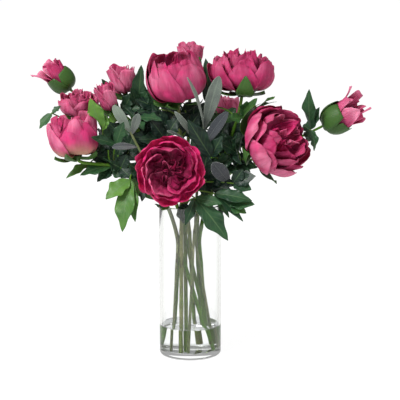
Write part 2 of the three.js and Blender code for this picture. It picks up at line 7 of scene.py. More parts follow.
import bpy
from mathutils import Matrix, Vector


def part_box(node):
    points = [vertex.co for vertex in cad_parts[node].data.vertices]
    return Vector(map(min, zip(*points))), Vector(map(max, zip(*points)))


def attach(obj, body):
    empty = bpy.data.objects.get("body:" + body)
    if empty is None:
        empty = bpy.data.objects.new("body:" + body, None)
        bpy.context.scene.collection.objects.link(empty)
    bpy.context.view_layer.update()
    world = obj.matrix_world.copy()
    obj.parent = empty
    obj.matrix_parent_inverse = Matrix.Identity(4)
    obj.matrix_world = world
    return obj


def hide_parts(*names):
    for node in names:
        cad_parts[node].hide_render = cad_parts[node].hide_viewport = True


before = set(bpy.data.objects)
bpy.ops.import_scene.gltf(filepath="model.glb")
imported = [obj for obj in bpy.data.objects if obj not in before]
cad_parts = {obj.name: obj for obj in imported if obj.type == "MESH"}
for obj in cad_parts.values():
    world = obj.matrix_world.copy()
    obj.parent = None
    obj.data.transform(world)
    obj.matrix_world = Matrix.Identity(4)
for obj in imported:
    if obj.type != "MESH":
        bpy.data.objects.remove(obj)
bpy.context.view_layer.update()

bl_info = {
    "name": "Peonies in a glass vase",
    "version": (1, 0, 0),
    "blender": (4, 5, 0),
    "location": "3D View > Sidebar > Bouquet",
    "description": "Builds a bouquet of peonies and lamb's ear in a clear glass cylinder vase",
    "category": "Add Mesh",
}

MM = 0.001
TAU = 2 * math.pi
UP = Vector((0, 0, 1))

# Sizes, heights and distances in millimetres
STEM_RADIUS = 3.2
SPRIG_RADIUS = 2.3
BRANCH_RADIUS = 2.2
PETIOLE_RADIUS = 1.4
VASE_FLOOR = 10
GAP = 0.3
NECK_HEIGHT = 180
ROOT_INSET = 0.6
SEAT_INSET = 3
SMALLEST_RECEPTACLE = 5
KNOT_SPACING = 62
KNOT_START = 20
KNOT_LENGTH = 4
SPRIG_LIFT = 60
SPRIG_REACH = 50
LARGE_BLOOM = 55

# Shares of other sizes, the tone of the sprigs' stems, and how far the hairs lean over
STRAIGHT = 0.125
UPTURN = 0.4
RECEPTACLE = 0.24
KNOT_SWELL = 0.16
LOWEST_PETIOLE = 0.08
STEM_TAPER = 0.8
BRANCH_TAPER = 0.9
PETIOLE_FOOT = 1.1
SPRIG_TONE = 0.45
TOUSLE = 0.7

# Sizes of the sepals, the glass and the water in metres
SEPAL_THICKNESS = 0.0007
SEPAL_CRUMPLE = 0.001
FOOT_RIM = 0.001
FOOT_HOLLOW = 0.0008
FLOOR_SWELL = 0.0006
SLIVER = 0.0001
MENISCUS_REACH = 0.003

# How fine things are: points along and across a blade, steps along a stalk, sides and rings of a round
# piece, and the grain of crumpled petals
LEAF_GRID = {"Along": 33, "Across": 13}
PETAL_GRID = {"Along": 15, "Across": 19}
SEPAL_GRID = {"Along": 15, "Across": 9}
STEM_STEPS = 90
SPRIG_STEPS = 80
BRANCH_STEPS = 30
PETIOLE_STEPS = 14
STEM_SIDES = 14
SPRIG_SIDES = 12
CORE_SIDES = 24
VASE_SIDES = 128
VASE_RINGS = 6
CORNER_STEPS = 8
LIP_STEPS = 10
CRUMPLE_SCALE = 55.0

# Where the lamb's-ear leaves begin in the row of numbers that vary them
VELVET_NUMBERS = 300

# How strongly glass and water bend light
GLASS_IOR = 1.45
WATER_IOR = 1.33

# Where the two lamps stand in metres, how wide they are, and the height that they look at
KEY_PLACE = (-1.8, -2.0, 3.0)
KEY_WIDTH = 1.4
FILL_PLACE = (1.6, -1.2, 1.1)
FILL_WIDTH = 1.6
MIDDLE_HEIGHT = 0.35


def chance(count):
    """A fixed number between 0 and 1 for each count, which varies petals and leaves."""
    raw = math.sin(count * 12.9898 + 78.233) * 43758.5453
    return raw - math.floor(raw)


# Node trees as Python expressions


def arithmetic(operation, reflected=False):
    """A method for one of Python's operators, which adds the node that works it out."""

    def method(self, other):
        values = (other, self) if reflected else (self, other)
        return self.worked_out(operation, *values)

    return method


class Wire:
    """One number from a node tree: Python's arithmetic on it adds Math nodes."""

    def __init__(self, tree, socket):
        self.tree = tree
        self.socket = socket

    def worked_out(self, operation, *values):
        return self.tree.math(operation, *values)

    __add__ = arithmetic("ADD")
    __sub__ = arithmetic("SUBTRACT")
    __mul__ = arithmetic("MULTIPLY")
    __truediv__ = arithmetic("DIVIDE")
    __pow__ = arithmetic("POWER")
    __radd__ = arithmetic("ADD", reflected=True)
    __rsub__ = arithmetic("SUBTRACT", reflected=True)
    __rmul__ = arithmetic("MULTIPLY", reflected=True)


class Arrow(Wire):
    """One vector from a node tree: Python's arithmetic on it adds Vector Math nodes."""

    def worked_out(self, operation, *values):
        return self.tree.vector(operation, *values)

    def __mul__(self, factor):
        return self.tree.vector("SCALE", self, Scale=factor)

    def cross(self, other):
        return self.tree.vector("CROSS_PRODUCT", self, other)

    def unit(self):
        return self.tree.vector("NORMALIZE", self)

    def length(self):
        return self.tree.node("ShaderNodeVectorMath", {"operation": "LENGTH"}, {0: self})


class Tree:
    """A shader or geometry node tree that expressions are written into."""

    def __init__(self, nodes_tree):
        self.nodes = nodes_tree.nodes
        self.links = nodes_tree.links

    def node(self, kind, settings=None, sockets=None, output=0, result=Wire):
        """A node of any kind: its settings are set first, then its sockets' values or links."""
        made = self.nodes.new(kind)
        for name, value in (settings or {}).items():
            setattr(made, name, value)
        shown = [socket for socket in made.inputs if socket.enabled]
        for key, value in (sockets or {}).items():
            socket = shown[key] if isinstance(key, int) else next(s for s in shown if s.name == key)
            if isinstance(value, Wire):
                self.links.new(value.socket, socket)
            else:
                socket.default_value = value
        return result(self, [socket for socket in made.outputs if socket.enabled][output])

    def math(self, operation, *values):
        return self.node("ShaderNodeMath", {"operation": operation}, dict(enumerate(values)))

    def vector(self, operation, *values, **named):
        sockets = dict(enumerate(values)) | named
        return self.node("ShaderNodeVectorMath", {"operation": operation}, sockets, result=Arrow)

    def xyz(self, x, y, z):
        return self.node("ShaderNodeCombineXYZ", None, {"X": x, "Y": y, "Z": z}, result=Arrow)

    def smooth(self, value, low, high, start=0.0, end=1.0):
        sockets = {"Value": value, "From Min": low, "From Max": high, "To Min": start, "To Max": end}
        return self.node("ShaderNodeMapRange", {"interpolation_type": "SMOOTHSTEP"}, sockets)

    def noise(self, place, scale, detail=2.0, roughness=0.5):
        sockets = {"Vector": place, "Scale": scale, "Detail": detail, "Roughness": roughness}
        return self.node("ShaderNodeTexNoise", None, sockets)

    def mix(self, factor, first, second):
        """Two colours mixed, each a link or three numbers."""
        colours = [colour if isinstance(colour, Wire) else (*colour[:3], 1) for colour in (first, second)]
        sockets = {"Factor": factor, "A": colours[0], "B": colours[1]}
        return self.node("ShaderNodeMix", {"data_type": "RGBA"}, sockets)

    def bump(self, strength, distance, height):
        sockets = {"Strength": strength, "Distance": distance, "Height": height}
        return self.node("ShaderNodeBump", None, sockets)

    def surface(self, name):
        """A number that the geometry carries."""
        return self.node("ShaderNodeAttribute", {"attribute_name": name}, output=2)

    def blade(self):
        """How far across and along a petal or leaf each point lies, and the blade's tone."""
        return [self.surface(name) for name in ("across", "along", "tone")]

    def object_place(self):
        return self.node("ShaderNodeTexCoord", output=3, result=Arrow)


# Geometry Nodes: trees that grow blades, tubes and hairs


class Grower(Tree):
    """A Geometry Nodes tree with named inputs, which turns seed points into a mesh."""

    KINDS = {"float": "NodeSocketFloat", "int": "NodeSocketInt", "vector": "NodeSocketVector"}

    def __init__(self, name, **inputs):
        self.group = bpy.data.node_groups.new(name, "GeometryNodeTree")
        super().__init__(self.group)
        self.group.interface.new_socket("Geometry", in_out="INPUT", socket_type="NodeSocketGeometry")
        for label, kind in inputs.items():
            socket_type = self.KINDS[kind]
            self.group.interface.new_socket(label.replace("_", " "), in_out="INPUT", socket_type=socket_type)
        self.group.interface.new_socket("Material", in_out="INPUT", socket_type="NodeSocketMaterial")
        self.group.interface.new_socket("Geometry", in_out="OUTPUT", socket_type="NodeSocketGeometry")
        self.entry = self.nodes.new("NodeGroupInput")

    def input(self, label, result=Wire):
        return result(self, self.entry.outputs[label])

    def attribute(self, name, result=Wire):
        settings = {"data_type": "FLOAT_VECTOR" if result is Arrow else "FLOAT"}
        return self.geometry("InputNamedAttribute", settings, result=result, Name=name)

    def geometry(self, kind, settings=None, result=Wire, **sockets):
        """A Geometry Nodes node, its sockets by their names with _ for each space."""
        named = {label.replace("_", " "): value for label, value in sockets.items()}
        return self.node("GeometryNode" + kind, settings, named, result=result)

    def store(self, mesh, name, value, kind="FLOAT", domain="POINT"):
        settings = {"data_type": kind, "domain": domain}
        return self.geometry("StoreNamedAttribute", settings, Geometry=mesh, Name=name, Value=value)

    def sheets(self):
        """One grid for each seed, with how far along and across it every point lies."""
        across = self.input("Across")
        along = self.input("Along")
        grid = self.geometry("MeshGrid", Size_X=2, Size_Y=1, Vertices_X=across, Vertices_Y=along)
        corners = Wire(self, grid.socket.node.outputs["UV Map"])
        split = self.node("ShaderNodeSeparateXYZ", None, {0: self.geometry("InputPosition")})
        height = Wire(self, split.socket.node.outputs["Y"]) + 0.5
        sheet = self.store(grid, "UVMap", corners, "FLOAT2", "CORNER")
        sheet = self.store(sheet, "across", split)
        sheet = self.store(sheet, "along", height)
        placed = self.geometry("InstanceOnPoints", Points=self.input("Geometry"), Instance=sheet)
        return self.geometry("RealizeInstances", Geometry=placed)

    def finish(self, mesh):
        smooth = self.geometry("SetShadeSmooth", Geometry=mesh)
        coated = self.geometry("SetMaterial", Geometry=smooth, Material=self.input("Material"))
        leave = self.nodes.new("NodeGroupOutput")
        self.links.new(coated.socket, leave.inputs["Geometry"])


def bezier(stops, t):
    a, b, c, d = stops
    s = 1 - t
    return s * s * s * a + s * s * t * 3 * b + s * t * t * 3 * c + t * t * t * d


def bezier_slope(stops, t):
    a, b, c, d = stops
    s = 1 - t
    return (b - a) * s * s * 3 + (c - b) * s * t * 6 + (d - c) * t * t * 3


def petal_tree():
    """Petals and sepals: each is a sheet bent round the bloom's axis to its own profile, then ruffled."""
    tree = Grower(
        "petal_whorls", Along="int", Across="int", Seat="vector", Side="vector", Front="vector", Aim="vector",
        Radius="float", Rise="float", Crumple="float", Crumple_Scale="float",
    )
    sheets = tree.sheets()
    u = tree.attribute("across")
    v = tree.attribute("along")
    names = "turn half lean size phase shift wave ruffle rounding taper sink twist"
    seed = {name: tree.attribute(name) for name in names.split()}
    radii = [tree.attribute(f"radius_{k}") for k in range(4)]
    heights = [tree.attribute(f"height_{k}") for k in range(4)]
    frill = tree.math("SINE", u * 4.6 + seed["phase"] * 2)
    frill = frill + tree.math("SINE", u * 9.5 + seed["phase"] * 4) * 0.4
    broad = u * u * (0.35 + u * u * 0.65)
    t = v * seed["size"] * (1 - seed["rounding"] * broad + frill * seed["ruffle"] * v * v)
    run = bezier_slope(radii, t)
    climb = bezier_slope(heights, t)
    slope = tree.math("SQRT", run * run + climb * climb)
    wave = tree.math("SINE", u * 3.2 + seed["phase"]) * seed["wave"]
    curls = tree.math("SINE", u * 6.5 + seed["phase"] * 3)
    curls = curls + tree.math("SINE", u * 12.5 + seed["phase"] * 5) * 0.5
    edge = v * v * v
    creases = tree.math("SINE", u * 9 + seed["phase"] * 6) + tree.math("SINE", u * 15 + seed["phase"]) * 0.6
    outward = seed["shift"] * u + seed["lean"] * v + wave * edge + curls * seed["ruffle"] * edge * v
    outward = outward + creases * v * 0.009
    out = tree.math("MAXIMUM", bezier(radii, t) + outward * climb / slope, 0.04)
    up = bezier(heights, t) - outward * run / slope
    end = tree.math("MAXIMUM", v - 0.45, 0.0) * 1.8
    rounded = tree.math("SQRT", 1 - end * end * tree.math("MINIMUM", seed["rounding"] * 3, 0.85))
    tapered = tree.math("SINE", v * 2.388 + 0.691)
    narrow = tree.math("MAXIMUM", 1 + (tapered - 1) * seed["taper"], 0.06)
    angle = seed["turn"] + u * seed["half"] * rounded * narrow + seed["twist"] * v
    radius = tree.input("Radius")
    x = radius * out * tree.math("COSINE", angle)
    y = radius * out * tree.math("SINE", angle)
    z = radius * tree.input("Rise") * up - seed["sink"] * (1 - v)
    place = tree.input("Seat", Arrow) + tree.input("Side", Arrow) * x
    place = place + tree.input("Front", Arrow) * y + tree.input("Aim", Arrow) * z
    shaken = place + tree.xyz(seed["phase"], seed["size"], seed["turn"]) * 0.02
    sockets = {"Vector": shaken, "Scale": tree.input("Crumple Scale"), "Detail": 2.0}
    crumple = tree.node("ShaderNodeTexNoise", None, sockets, output=1, result=Arrow) - (0.5, 0.5, 0.5)
    place = place + crumple * (tree.input("Crumple") * v)
    tree.finish(tree.geometry("SetPosition", Geometry=sheets, Position=place))
    return tree.group


def leaf_tree():
    """Leaflets: each arches from its root to its tip, folds along its rib, and stays out of every bloom."""
    tree = Grower("leaflets", Along="int", Across="int", Relief="float")
    sheets = tree.sheets()
    u = tree.attribute("across")
    t = tree.attribute("along")
    root = tree.attribute("root", Arrow)
    tip = tree.attribute("tip", Arrow)
    face = tree.attribute("face", Arrow)
    half = tree.attribute("half")
    blunt = tree.attribute("blunt")
    phase = tree.attribute("phase")
    span = (tip - root).length()
    mid = (root + tip) * 0.5 + face * (tree.attribute("sag") * span)
    place = root * ((1 - t) * (1 - t)) + mid * (t * (1 - t) * 2) + tip * (t * t)
    rib = ((mid - root) * (1 - t) + (tip - mid) * t).unit()
    across = rib.cross(face).unit()
    up = across.cross(rib).unit()
    power = 0.9 - blunt * 0.35
    shape = tree.math("MAXIMUM", tree.math("SINE", t ** (0.85 + blunt * 0.65) * math.pi), 0.0) ** power
    cut = 1 + tree.attribute("lobes") * tree.math("SINE", t * 14 + u * tree.math("SINE", phase) * 0.5)
    wide = tree.math("MAXIMUM", half * shape * cut, 0.0005)
    side = tree.math("ABSOLUTE", u)
    fold = tree.math("SQRT", u * u + 0.02) - 0.14
    quilt = tree.math("SINE", t * 44 - side * 6) * side * (1 - side) * tree.input("Relief")
    margin = tree.math("SINE", t * 21 + phase + u * 1.3) * side * side * side * tree.attribute("wave")
    lift = (tree.attribute("fold") * fold + margin) * wide + quilt
    place = place + across * (u * wide) + up * lift
    for flower in BLOOMS.values():
        centre, keep = flower.keep_out()
        middle = tuple(centre * MM)
        away = place - middle
        distance = away.length()
        place = away * (tree.math("MAXIMUM", distance, keep * MM) / distance) + middle
    tree.finish(tree.geometry("SetPosition", Geometry=sheets, Position=place))
    return tree.group


def stalk_tree():
    """Stems, branches and petioles: round tubes along lines of points, as thick as each point says."""
    tree = Grower("stalks", Sides="int")
    line = tree.geometry("MeshToCurve", Mesh=tree.input("Geometry"))
    line = tree.geometry("SetCurveRadius", Curve=line, Radius=tree.attribute("thick"))
    ring = tree.geometry("CurvePrimitiveCircle", Resolution=tree.input("Sides"), Radius=1.0)
    sockets = {"Curve": line, "Profile_Curve": ring, "Scale": tree.attribute("thick"), "Fill_Caps": True}
    tree.finish(tree.geometry("RealizeInstances", Geometry=tree.geometry("CurveToMesh", **sockets)))
    return tree.group


def hair_tree():
    """Short fine hairs all over a leaf, each a three-sided cone standing out from the leaf, tousled a little
    every way.
    """
    tree = Grower("hairs", Density="float", Length="float", Width="float", Seed="int")
    sockets = {"Mesh": tree.input("Geometry"), "Density": tree.input("Density"), "Seed": tree.input("Seed")}
    points = tree.geometry("DistributePointsOnFaces", **sockets)
    normal = Arrow(tree, points.socket.node.outputs["Normal"])
    sockets = {"Min": (-TOUSLE,) * 3, "Max": (TOUSLE,) * 3, "Seed": tree.input("Seed")}
    tousle = tree.node("FunctionNodeRandomValue", {"data_type": "FLOAT_VECTOR"}, sockets, result=Arrow)
    aim = tree.node("FunctionNodeAlignRotationToVector", {"axis": "Z"}, {"Vector": normal + tousle})
    sockets = {"Vertices": 3, "Radius_Bottom": tree.input("Width"), "Depth": tree.input("Length")}
    hair = tree.geometry("MeshCone", {"fill_type": "NONE"}, **sockets)
    placed = tree.geometry("InstanceOnPoints", Points=points, Instance=hair, Rotation=aim)
    tree.finish(tree.geometry("RealizeInstances", Geometry=placed))
    return tree.group


def seed_mesh(name, seeds, lines=()):
    """One point for each seed, which carries the seed's numbers and vectors as attributes."""
    mesh = bpy.data.meshes.new(name)
    places = [seed.get("place", (0, 0, 0)) for seed in seeds]
    mesh.from_pydata(places, list(lines), [])
    for key in seeds[0]:
        values = [seed[key] for seed in seeds]
        if key == "place":
            continue
        if isinstance(values[0], (int, float)):
            mesh.attributes.new(key, "FLOAT", "POINT").data.foreach_set("value", values)
        else:
            flat = [number for value in values for number in value]
            mesh.attributes.new(key, "FLOAT_VECTOR", "POINT").data.foreach_set("vector", flat)
    return mesh


def grow(name, mesh, group, materials, thickness=0.0, **inputs):
    """A plain mesh object that a tree grows from a seed mesh. Blades get a thickness and a second side."""
    seeds = bpy.data.objects.new(name + "_seeds", mesh)
    bpy.context.collection.objects.link(seeds)
    modifier = seeds.modifiers.new("grow", "NODES")
    modifier.node_group = group
    values = {label.replace("_", " "): value for label, value in inputs.items()} | {"Material": materials[0]}
    for item in group.interface.items_tree:
        if item.in_out == "INPUT" and item.name in values:
            modifier[item.identifier] = values[item.name]
    if thickness:
        shell = seeds.modifiers.new("thickness", "SOLIDIFY")
        shell.thickness = thickness
        shell.offset = 0
    depsgraph = bpy.context.evaluated_depsgraph_get()
    plain = bpy.data.meshes.new_from_object(seeds.evaluated_get(depsgraph), depsgraph=depsgraph)
    bpy.data.objects.remove(seeds)
    if not plain.polygons:
        raise RuntimeError(f"nothing grew for {name}")
    if thickness and len(materials) > 1:
        plain.materials.append(materials[1])
        faces = (inputs["Along"] - 1) * (inputs["Across"] - 1) * len(mesh.vertices)
        for polygon in plain.polygons[faces:]:
            polygon.material_index = 1
    return linked(name, plain)


def linked(name, data):
    data.name = name
    piece = bpy.data.objects.new(name, data)
    bpy.context.collection.objects.link(piece)
    return piece


def joined(name, pieces):
    """Several mesh objects as one, which keeps all their materials."""
    first = pieces[0]
    if len(pieces) > 1:
        with bpy.context.temp_override(active_object=first, selected_editable_objects=pieces):
            bpy.ops.object.join()
    first.name = name
    first.data.name = name
    return first


def finish_piece(piece, node):
    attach(piece, "root")
    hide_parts(node)


def turned(name, profile, sides, skin, seat=(0, 0, 0), aim=UP):
    """A closed profile of [radius, height] points turned about an aim. Its two ends lie on the axis."""
    turn = UP.rotation_difference(Vector(aim))
    seat = Vector(seat)
    rim = len(profile) - 2
    places = [seat + turn @ Vector((0, 0, profile[0][1])), seat + turn @ Vector((0, 0, profile[-1][1]))]
    for k in range(sides):
        angle = k / sides * TAU
        for radius, height in profile[1:-1]:
            places.append(seat + turn @ Vector((radius * math.cos(angle), radius * math.sin(angle), height)))
    faces = []
    for k in range(sides):
        here = 2 + k * rim
        there = 2 + (k + 1) % sides * rim
        faces.append((0, there, here))
        faces.append((1, here + rim - 1, there + rim - 1))
        for j in range(rim - 1):
            faces.append((here + j, there + j, there + j + 1, here + j + 1))
    mesh = bpy.data.meshes.new(name)
    mesh.from_pydata(places, [], faces)
    mesh.materials.append(skin)
    mesh.shade_smooth()
    return linked(name, mesh)


def arc(centre, radius, start, end, steps=CORNER_STEPS):
    """Points of a round corner in a profile, from one angle in degrees to another."""
    turns = [math.radians(start + (end - start) * k / steps) for k in range(steps + 1)]
    return [(centre[0] + radius * math.cos(a), centre[1] + radius * math.sin(a)) for a in turns]


# Materials


def material(name, build, **constants):
    """A Principled material: build() gives what changes over the surface, the rest is constant."""
    made = bpy.data.materials.new(name)
    made.use_nodes = True
    tree = Tree(made.node_tree)
    shader = made.node_tree.nodes["Principled BSDF"]
    for label, value in constants.items():
        shader.inputs[label.replace("_", " ")].default_value = value
    for label, wire in build(tree).items():
        tree.links.new(wire.socket, shader.inputs[label])
    return made


def tinted(colour, factor):
    return tuple(min(1.0, part * factor) for part in colour)


def petal_material(name, deep, body, heart, edge, cream):
    """Soft petal: dark at its root or cream there, mottled, with a deeper or a paler edge and fine veins; its
    dark root and side edges are partly painted shade where petals overlap, painted shade darkens its folds
    and the petals deep in the bloom, and pale inner rims are partly a painted highlight.
    """

    def build(tree):
        u, v, tone = tree.blade()
        pale = tree.surface("pale")
        veins = tree.noise(tree.xyz(u * 5, v * 0.5, tone * 9), 5.0, 3.0)
        folds = tree.noise(tree.xyz(u * 1.5, v * 1.2, tone * 7), 2.2, 3.0)
        mottle = tree.noise(tree.object_place(), 60.0, 3.0)
        patches = tree.noise(tree.object_place(), 26.0, 2.0)
        fresh = tree.mix(tree.smooth(tone, 0.15, 0.8), heart, body)
        fresh = tree.mix(tree.smooth(tone, 0.9, 1.6) * 0.7, fresh, edge)
        # Darker towards the root: partly the petal's own deeper colour, partly painted shade where the petals
        # overlap.
        colour = tree.mix(tree.smooth(v, 0.05, 0.6), deep, fresh)
        colour = tree.mix(tree.smooth(mottle, 0.4, 0.7) * 0.5, colour, heart)
        colour = tree.mix(tree.smooth(patches, 0.5, 0.72) * (0.15 + pale) * 0.5, colour, edge)
        # Deeper edges: partly the petals' own darker outline, partly painted shade where the side edges lie
        # under the next petal.
        rim = tree.math("MAXIMUM", tree.smooth(v, 0.86, 1.0), tree.smooth(u * u, 0.82, 1.0))
        colour = tree.mix(rim * (1 - pale) * 0.5, colour, deep)
        # Pale rims: partly the petals' own paler edges, partly a painted highlight where the rims of inner
        # petals catch the light.
        wide_rim = tree.math("MAXIMUM", tree.smooth(v, 0.5, 0.95), tree.smooth(u * u, 0.5, 1.0) * 0.5)
        colour = tree.mix(wide_rim * pale * tree.smooth(patches, 0.3, 0.6) * 0.85, colour, edge)
        # Painted shade: darker in the folds and on the low-toned petals deep in the bloom, together with the
        # darker veins; lifted at the pale rims.
        painted_shade_and_veins = tree.smooth(folds, 0.42, 0.62, 0.0, 0.45) + tree.smooth(tone, -0.1, 0.5, 0.75, 0.0)
        painted_shade_and_veins = tree.math("MINIMUM", painted_shade_and_veins + tree.smooth(veins, 0.5, 0.75, 0.0, 0.2), 0.9)
        colour = tree.mix(painted_shade_and_veins * (1 - wide_rim * pale * 0.7), colour, deep)
        colour = tree.mix(tree.smooth(v, 0.22, 0.66, 1.0, 0.0) * tree.surface("cream"), colour, cream)
        relief = veins * 0.3 + mottle * 0.7 - folds * 2
        return {"Base Color": colour, "Normal": tree.bump(0.6, 0.0016, relief)}

    soft = {"Subsurface_Weight": 0.15, "Subsurface_Radius": (1.0, 0.25, 0.35), "Subsurface_Scale": 0.003}
    return material(name, build, Roughness=0.6, Specular_IOR_Level=0.1, **soft)


def leaf_material(name, dark, middle, bright, vein, rough):
    """Satin leaf: dark to bright by its tone, with a pale rib and side veins; its dark end partly paints the
    shade on the leaves deep in the bunch.
    """

    def build(tree):
        u, v, tone = tree.blade()
        side = tree.math("ABSOLUTE", u)
        blotch = tree.noise(tree.object_place(), 45.0, 4.0)
        rib = tree.smooth(side, 0.03, 0.1, 1.0, 0.0)
        branch = tree.math("ABSOLUTE", tree.math("SINE", v * 22 - side * 6))
        nerves = tree.smooth(branch, 0.05, 0.25, 1.0, 0.0) * tree.smooth(side, 0.75, 1.0, 1.0, 0.0)
        lines = tree.math("MAXIMUM", rib * 0.8, nerves * 0.4)
        level = tone + (blotch - 0.5) * 0.5
        colour = tree.mix(tree.smooth(level, 0.0, 0.5), dark, middle)
        colour = tree.mix(tree.smooth(level, 0.35, 0.95), colour, bright)
        colour = tree.mix(lines * 0.5, colour, vein)
        gloss = tree.smooth(blotch, 0.3, 0.7, rough - 0.06, rough + 0.08)
        normal = tree.bump(0.5, 0.0005, blotch * 0.4 - lines)
        return {"Base Color": colour, "Roughness": gloss, "Normal": normal}

    return material(name, build, Specular_IOR_Level=0.25, Subsurface_Weight=0.03, Subsurface_Scale=0.002)


def felt_material(name, pale, dark):
    """Velvet leaf: grey-green felt, darker and more purple towards its root."""

    def build(tree):
        u, v, tone = tree.blade()
        side = tree.math("ABSOLUTE", u)
        felt = tree.noise(tree.object_place(), 900.0, 3.0, 0.7)
        blotch = tree.noise(tree.object_place(), 60.0, 2.0)
        rib = tree.smooth(side, 0.04, 0.14, 1.0, 0.0)
        rim = tree.smooth(side, 0.8, 1.0)
        level = tone * 0.8 + (blotch - 0.5) * 0.5 + (felt - 0.5) * 0.5 + v * 0.15 + (rib + rim) * 0.22
        colour = tree.mix(tree.smooth(level, 0.0, 1.1), dark, pale)
        return {"Base Color": colour, "Normal": tree.bump(0.6, 0.0006, felt + rib)}

    sheen = {"Sheen_Weight": 0.6, "Sheen_Roughness": 0.5}
    return material(name, build, Roughness=0.92, Specular_IOR_Level=0.15, **sheen)


def stalk_material(name, green, brown):
    """Stem skin: green to brown by its tone, streaked and scarred with darker brown."""

    def build(tree):
        place = tree.object_place()
        streaks = tree.noise(place, 240.0, 3.0)
        level = tree.surface("tone") + (tree.noise(place, 28.0, 2.0) - 0.5) * 0.9
        colour = tree.mix(tree.smooth(level, 0.0, 1.0), green, brown)
        colour = tree.mix(tree.smooth(streaks, 0.45, 0.75) * 0.4, colour, tinted(brown, 0.35))
        scars = tree.smooth(tree.noise(place, 60.0, 3.0), 0.58, 0.7)
        colour = tree.mix(scars * 0.7, colour, tinted(brown, 0.25))
        return {"Base Color": colour, "Normal": tree.bump(0.4, 0.0005, streaks)}

    return material(name, build, Roughness=0.5, Specular_IOR_Level=0.2)


def clear_material(name, tint, edge, ior):
    """Glass or water, a little darker where the eye looks along it."""

    def build(tree):
        facing = tree.node("ShaderNodeLayerWeight", None, {"Blend": 0.5}, output=1)
        return {"Base Color": tree.mix(tree.smooth(facing, 0.35, 1.0), tint, edge)}

    return material(name, build, Roughness=0.0, Transmission_Weight=1.0, IOR=ior)


# Blooms


class Layer(NamedTuple):
    """One whorl of petals: how many, their side profile in bloom radii, how wide each is, how one edge laps
    over the next, and how wavy, round, ruffled and twisted they are. Then the tone of the petals, how pale
    their rims are beside the bloom's, and how far they stray from their places."""

    count: int
    radii: tuple
    heights: tuple
    spread: float
    shift: float
    wave: float
    rounding: float
    ruffle: float = 0.012
    twist: float = 0.0
    # The petals' tone: a low tone also paints shade on the petals deep in the bloom.
    tone: float = 0.6
    # How pale the rims are: on inner whorls partly a painted highlight where their tips catch the light.
    rims: float = 1.0
    stray: float = 0.0


class Form(NamedTuple):
    """A form of bloom: its core's width and height, its layers from the outside in, and its sepals: how many,
    their side profile, half the angle that each spans and how much it tapers."""

    core: tuple
    sepals: tuple
    layers: list


CUP_SEPALS = (5, (0.1, 0.78, 1.14, 1.22), (0, -0.22, 0, 0.56), 0.36, 1.0)
YOUNG_SEPALS = (4, (0.1, 0.7, 1.2, 1.16), (0, -0.44, -0.1, 0.6), 0.45, 1.0)
OPEN = Form((0.3, 0.22), (5, (0.1, 0.4, 0.66, 0.9), (0, -0.34, -0.34, -0.2), 0.3, 1.0), [
    Layer(6, (0.2, 0.86, 1.14, 1.02), (0.1, -0.12, 0.24, 0.56), 1.3, 0.05, 0.05, 0.2, 0.006, 0.1, 0.9, 0.5),
    Layer(6, (0.2, 0.7, 1.02, 0.86), (0.2, 0.02, 0.34, 0.7), 1.3, 0.06, 0.06, 0.2, 0.01, 0.1, 0.9, 0.8),
    Layer(5, (0.2, 0.6, 0.88, 0.68), (0.26, 0.1, 0.44, 0.82), 1.35, 0.08, 0.06, 0.22, 0.016, 0.2, 0.2, 2.2),
    Layer(4, (0.2, 0.44, 0.62, 0.46), (0.24, 0.1, 0.3, 0.58), 1.1, 0.07, 0.1, 0.24, 0.02, 0.3, -0.3, 0.0,
          0.3),
    Layer(5, (0.16, 0.34, 0.5, 0.34), (0.2, 0.08, 0.2, 0.5), 0.9, 0.06, 0.14, 0.24, 0.03, 0.6, -0.25, 0.2,
          0.5),
    Layer(4, (0.1, 0.26, 0.4, 0.2), (0.2, 0.12, 0.24, 0.58), 0.9, 0.06, 0.16, 0.24, 0.04, 1.0, -0.1, 1.0,
          0.7),
    Layer(3, (0.06, 0.14, 0.24, 0.1), (0.2, 0.16, 0.3, 0.62), 0.9, 0.06, 0.16, 0.24, 0.04, 1.0, 0.2, 2.0,
          0.8),
])
GLOBE = Form((0.32, 0.4), CUP_SEPALS, [
    Layer(6, (0.2, 0.94, 1.16, 0.96), (0.08, -0.1, 0.42, 0.82), 1.4, 0.06, 0.05, 0.22, 0.01, 0.1, 0.8, 1.1),
    Layer(6, (0.2, 0.82, 1.04, 0.84), (0.16, 0.02, 0.52, 0.94), 1.3, 0.07, 0.05, 0.24, 0.012, 0.1, 0.8, 1.0),
    Layer(5, (0.2, 0.7, 0.92, 0.7), (0.24, 0.14, 0.6, 1.02), 1.3, 0.07, 0.06, 0.24, 0.016, 0.1, 0.85),
    Layer(5, (0.18, 0.56, 0.74, 0.54), (0.3, 0.26, 0.64, 1.06), 1.2, 0.06, 0.07, 0.24, 0.02, 0.3, 0.7),
    Layer(5, (0.14, 0.4, 0.54, 0.4), (0.34, 0.36, 0.64, 1.04), 1.0, 0.05, 0.1, 0.26, 0.035, 0.6, 0.3, 0.8,
          0.2),
    Layer(5, (0.1, 0.26, 0.36, 0.26), (0.36, 0.42, 0.62, 1.0), 0.9, 0.05, 0.12, 0.26, 0.045, 1.0, 0.2, 1.0,
          0.4),
    Layer(4, (0.06, 0.14, 0.18, 0.12), (0.38, 0.46, 0.66, 0.98), 0.8, 0.04, 0.12, 0.26, 0.05, 1.2, 0.4, 1.6,
          0.5),
])
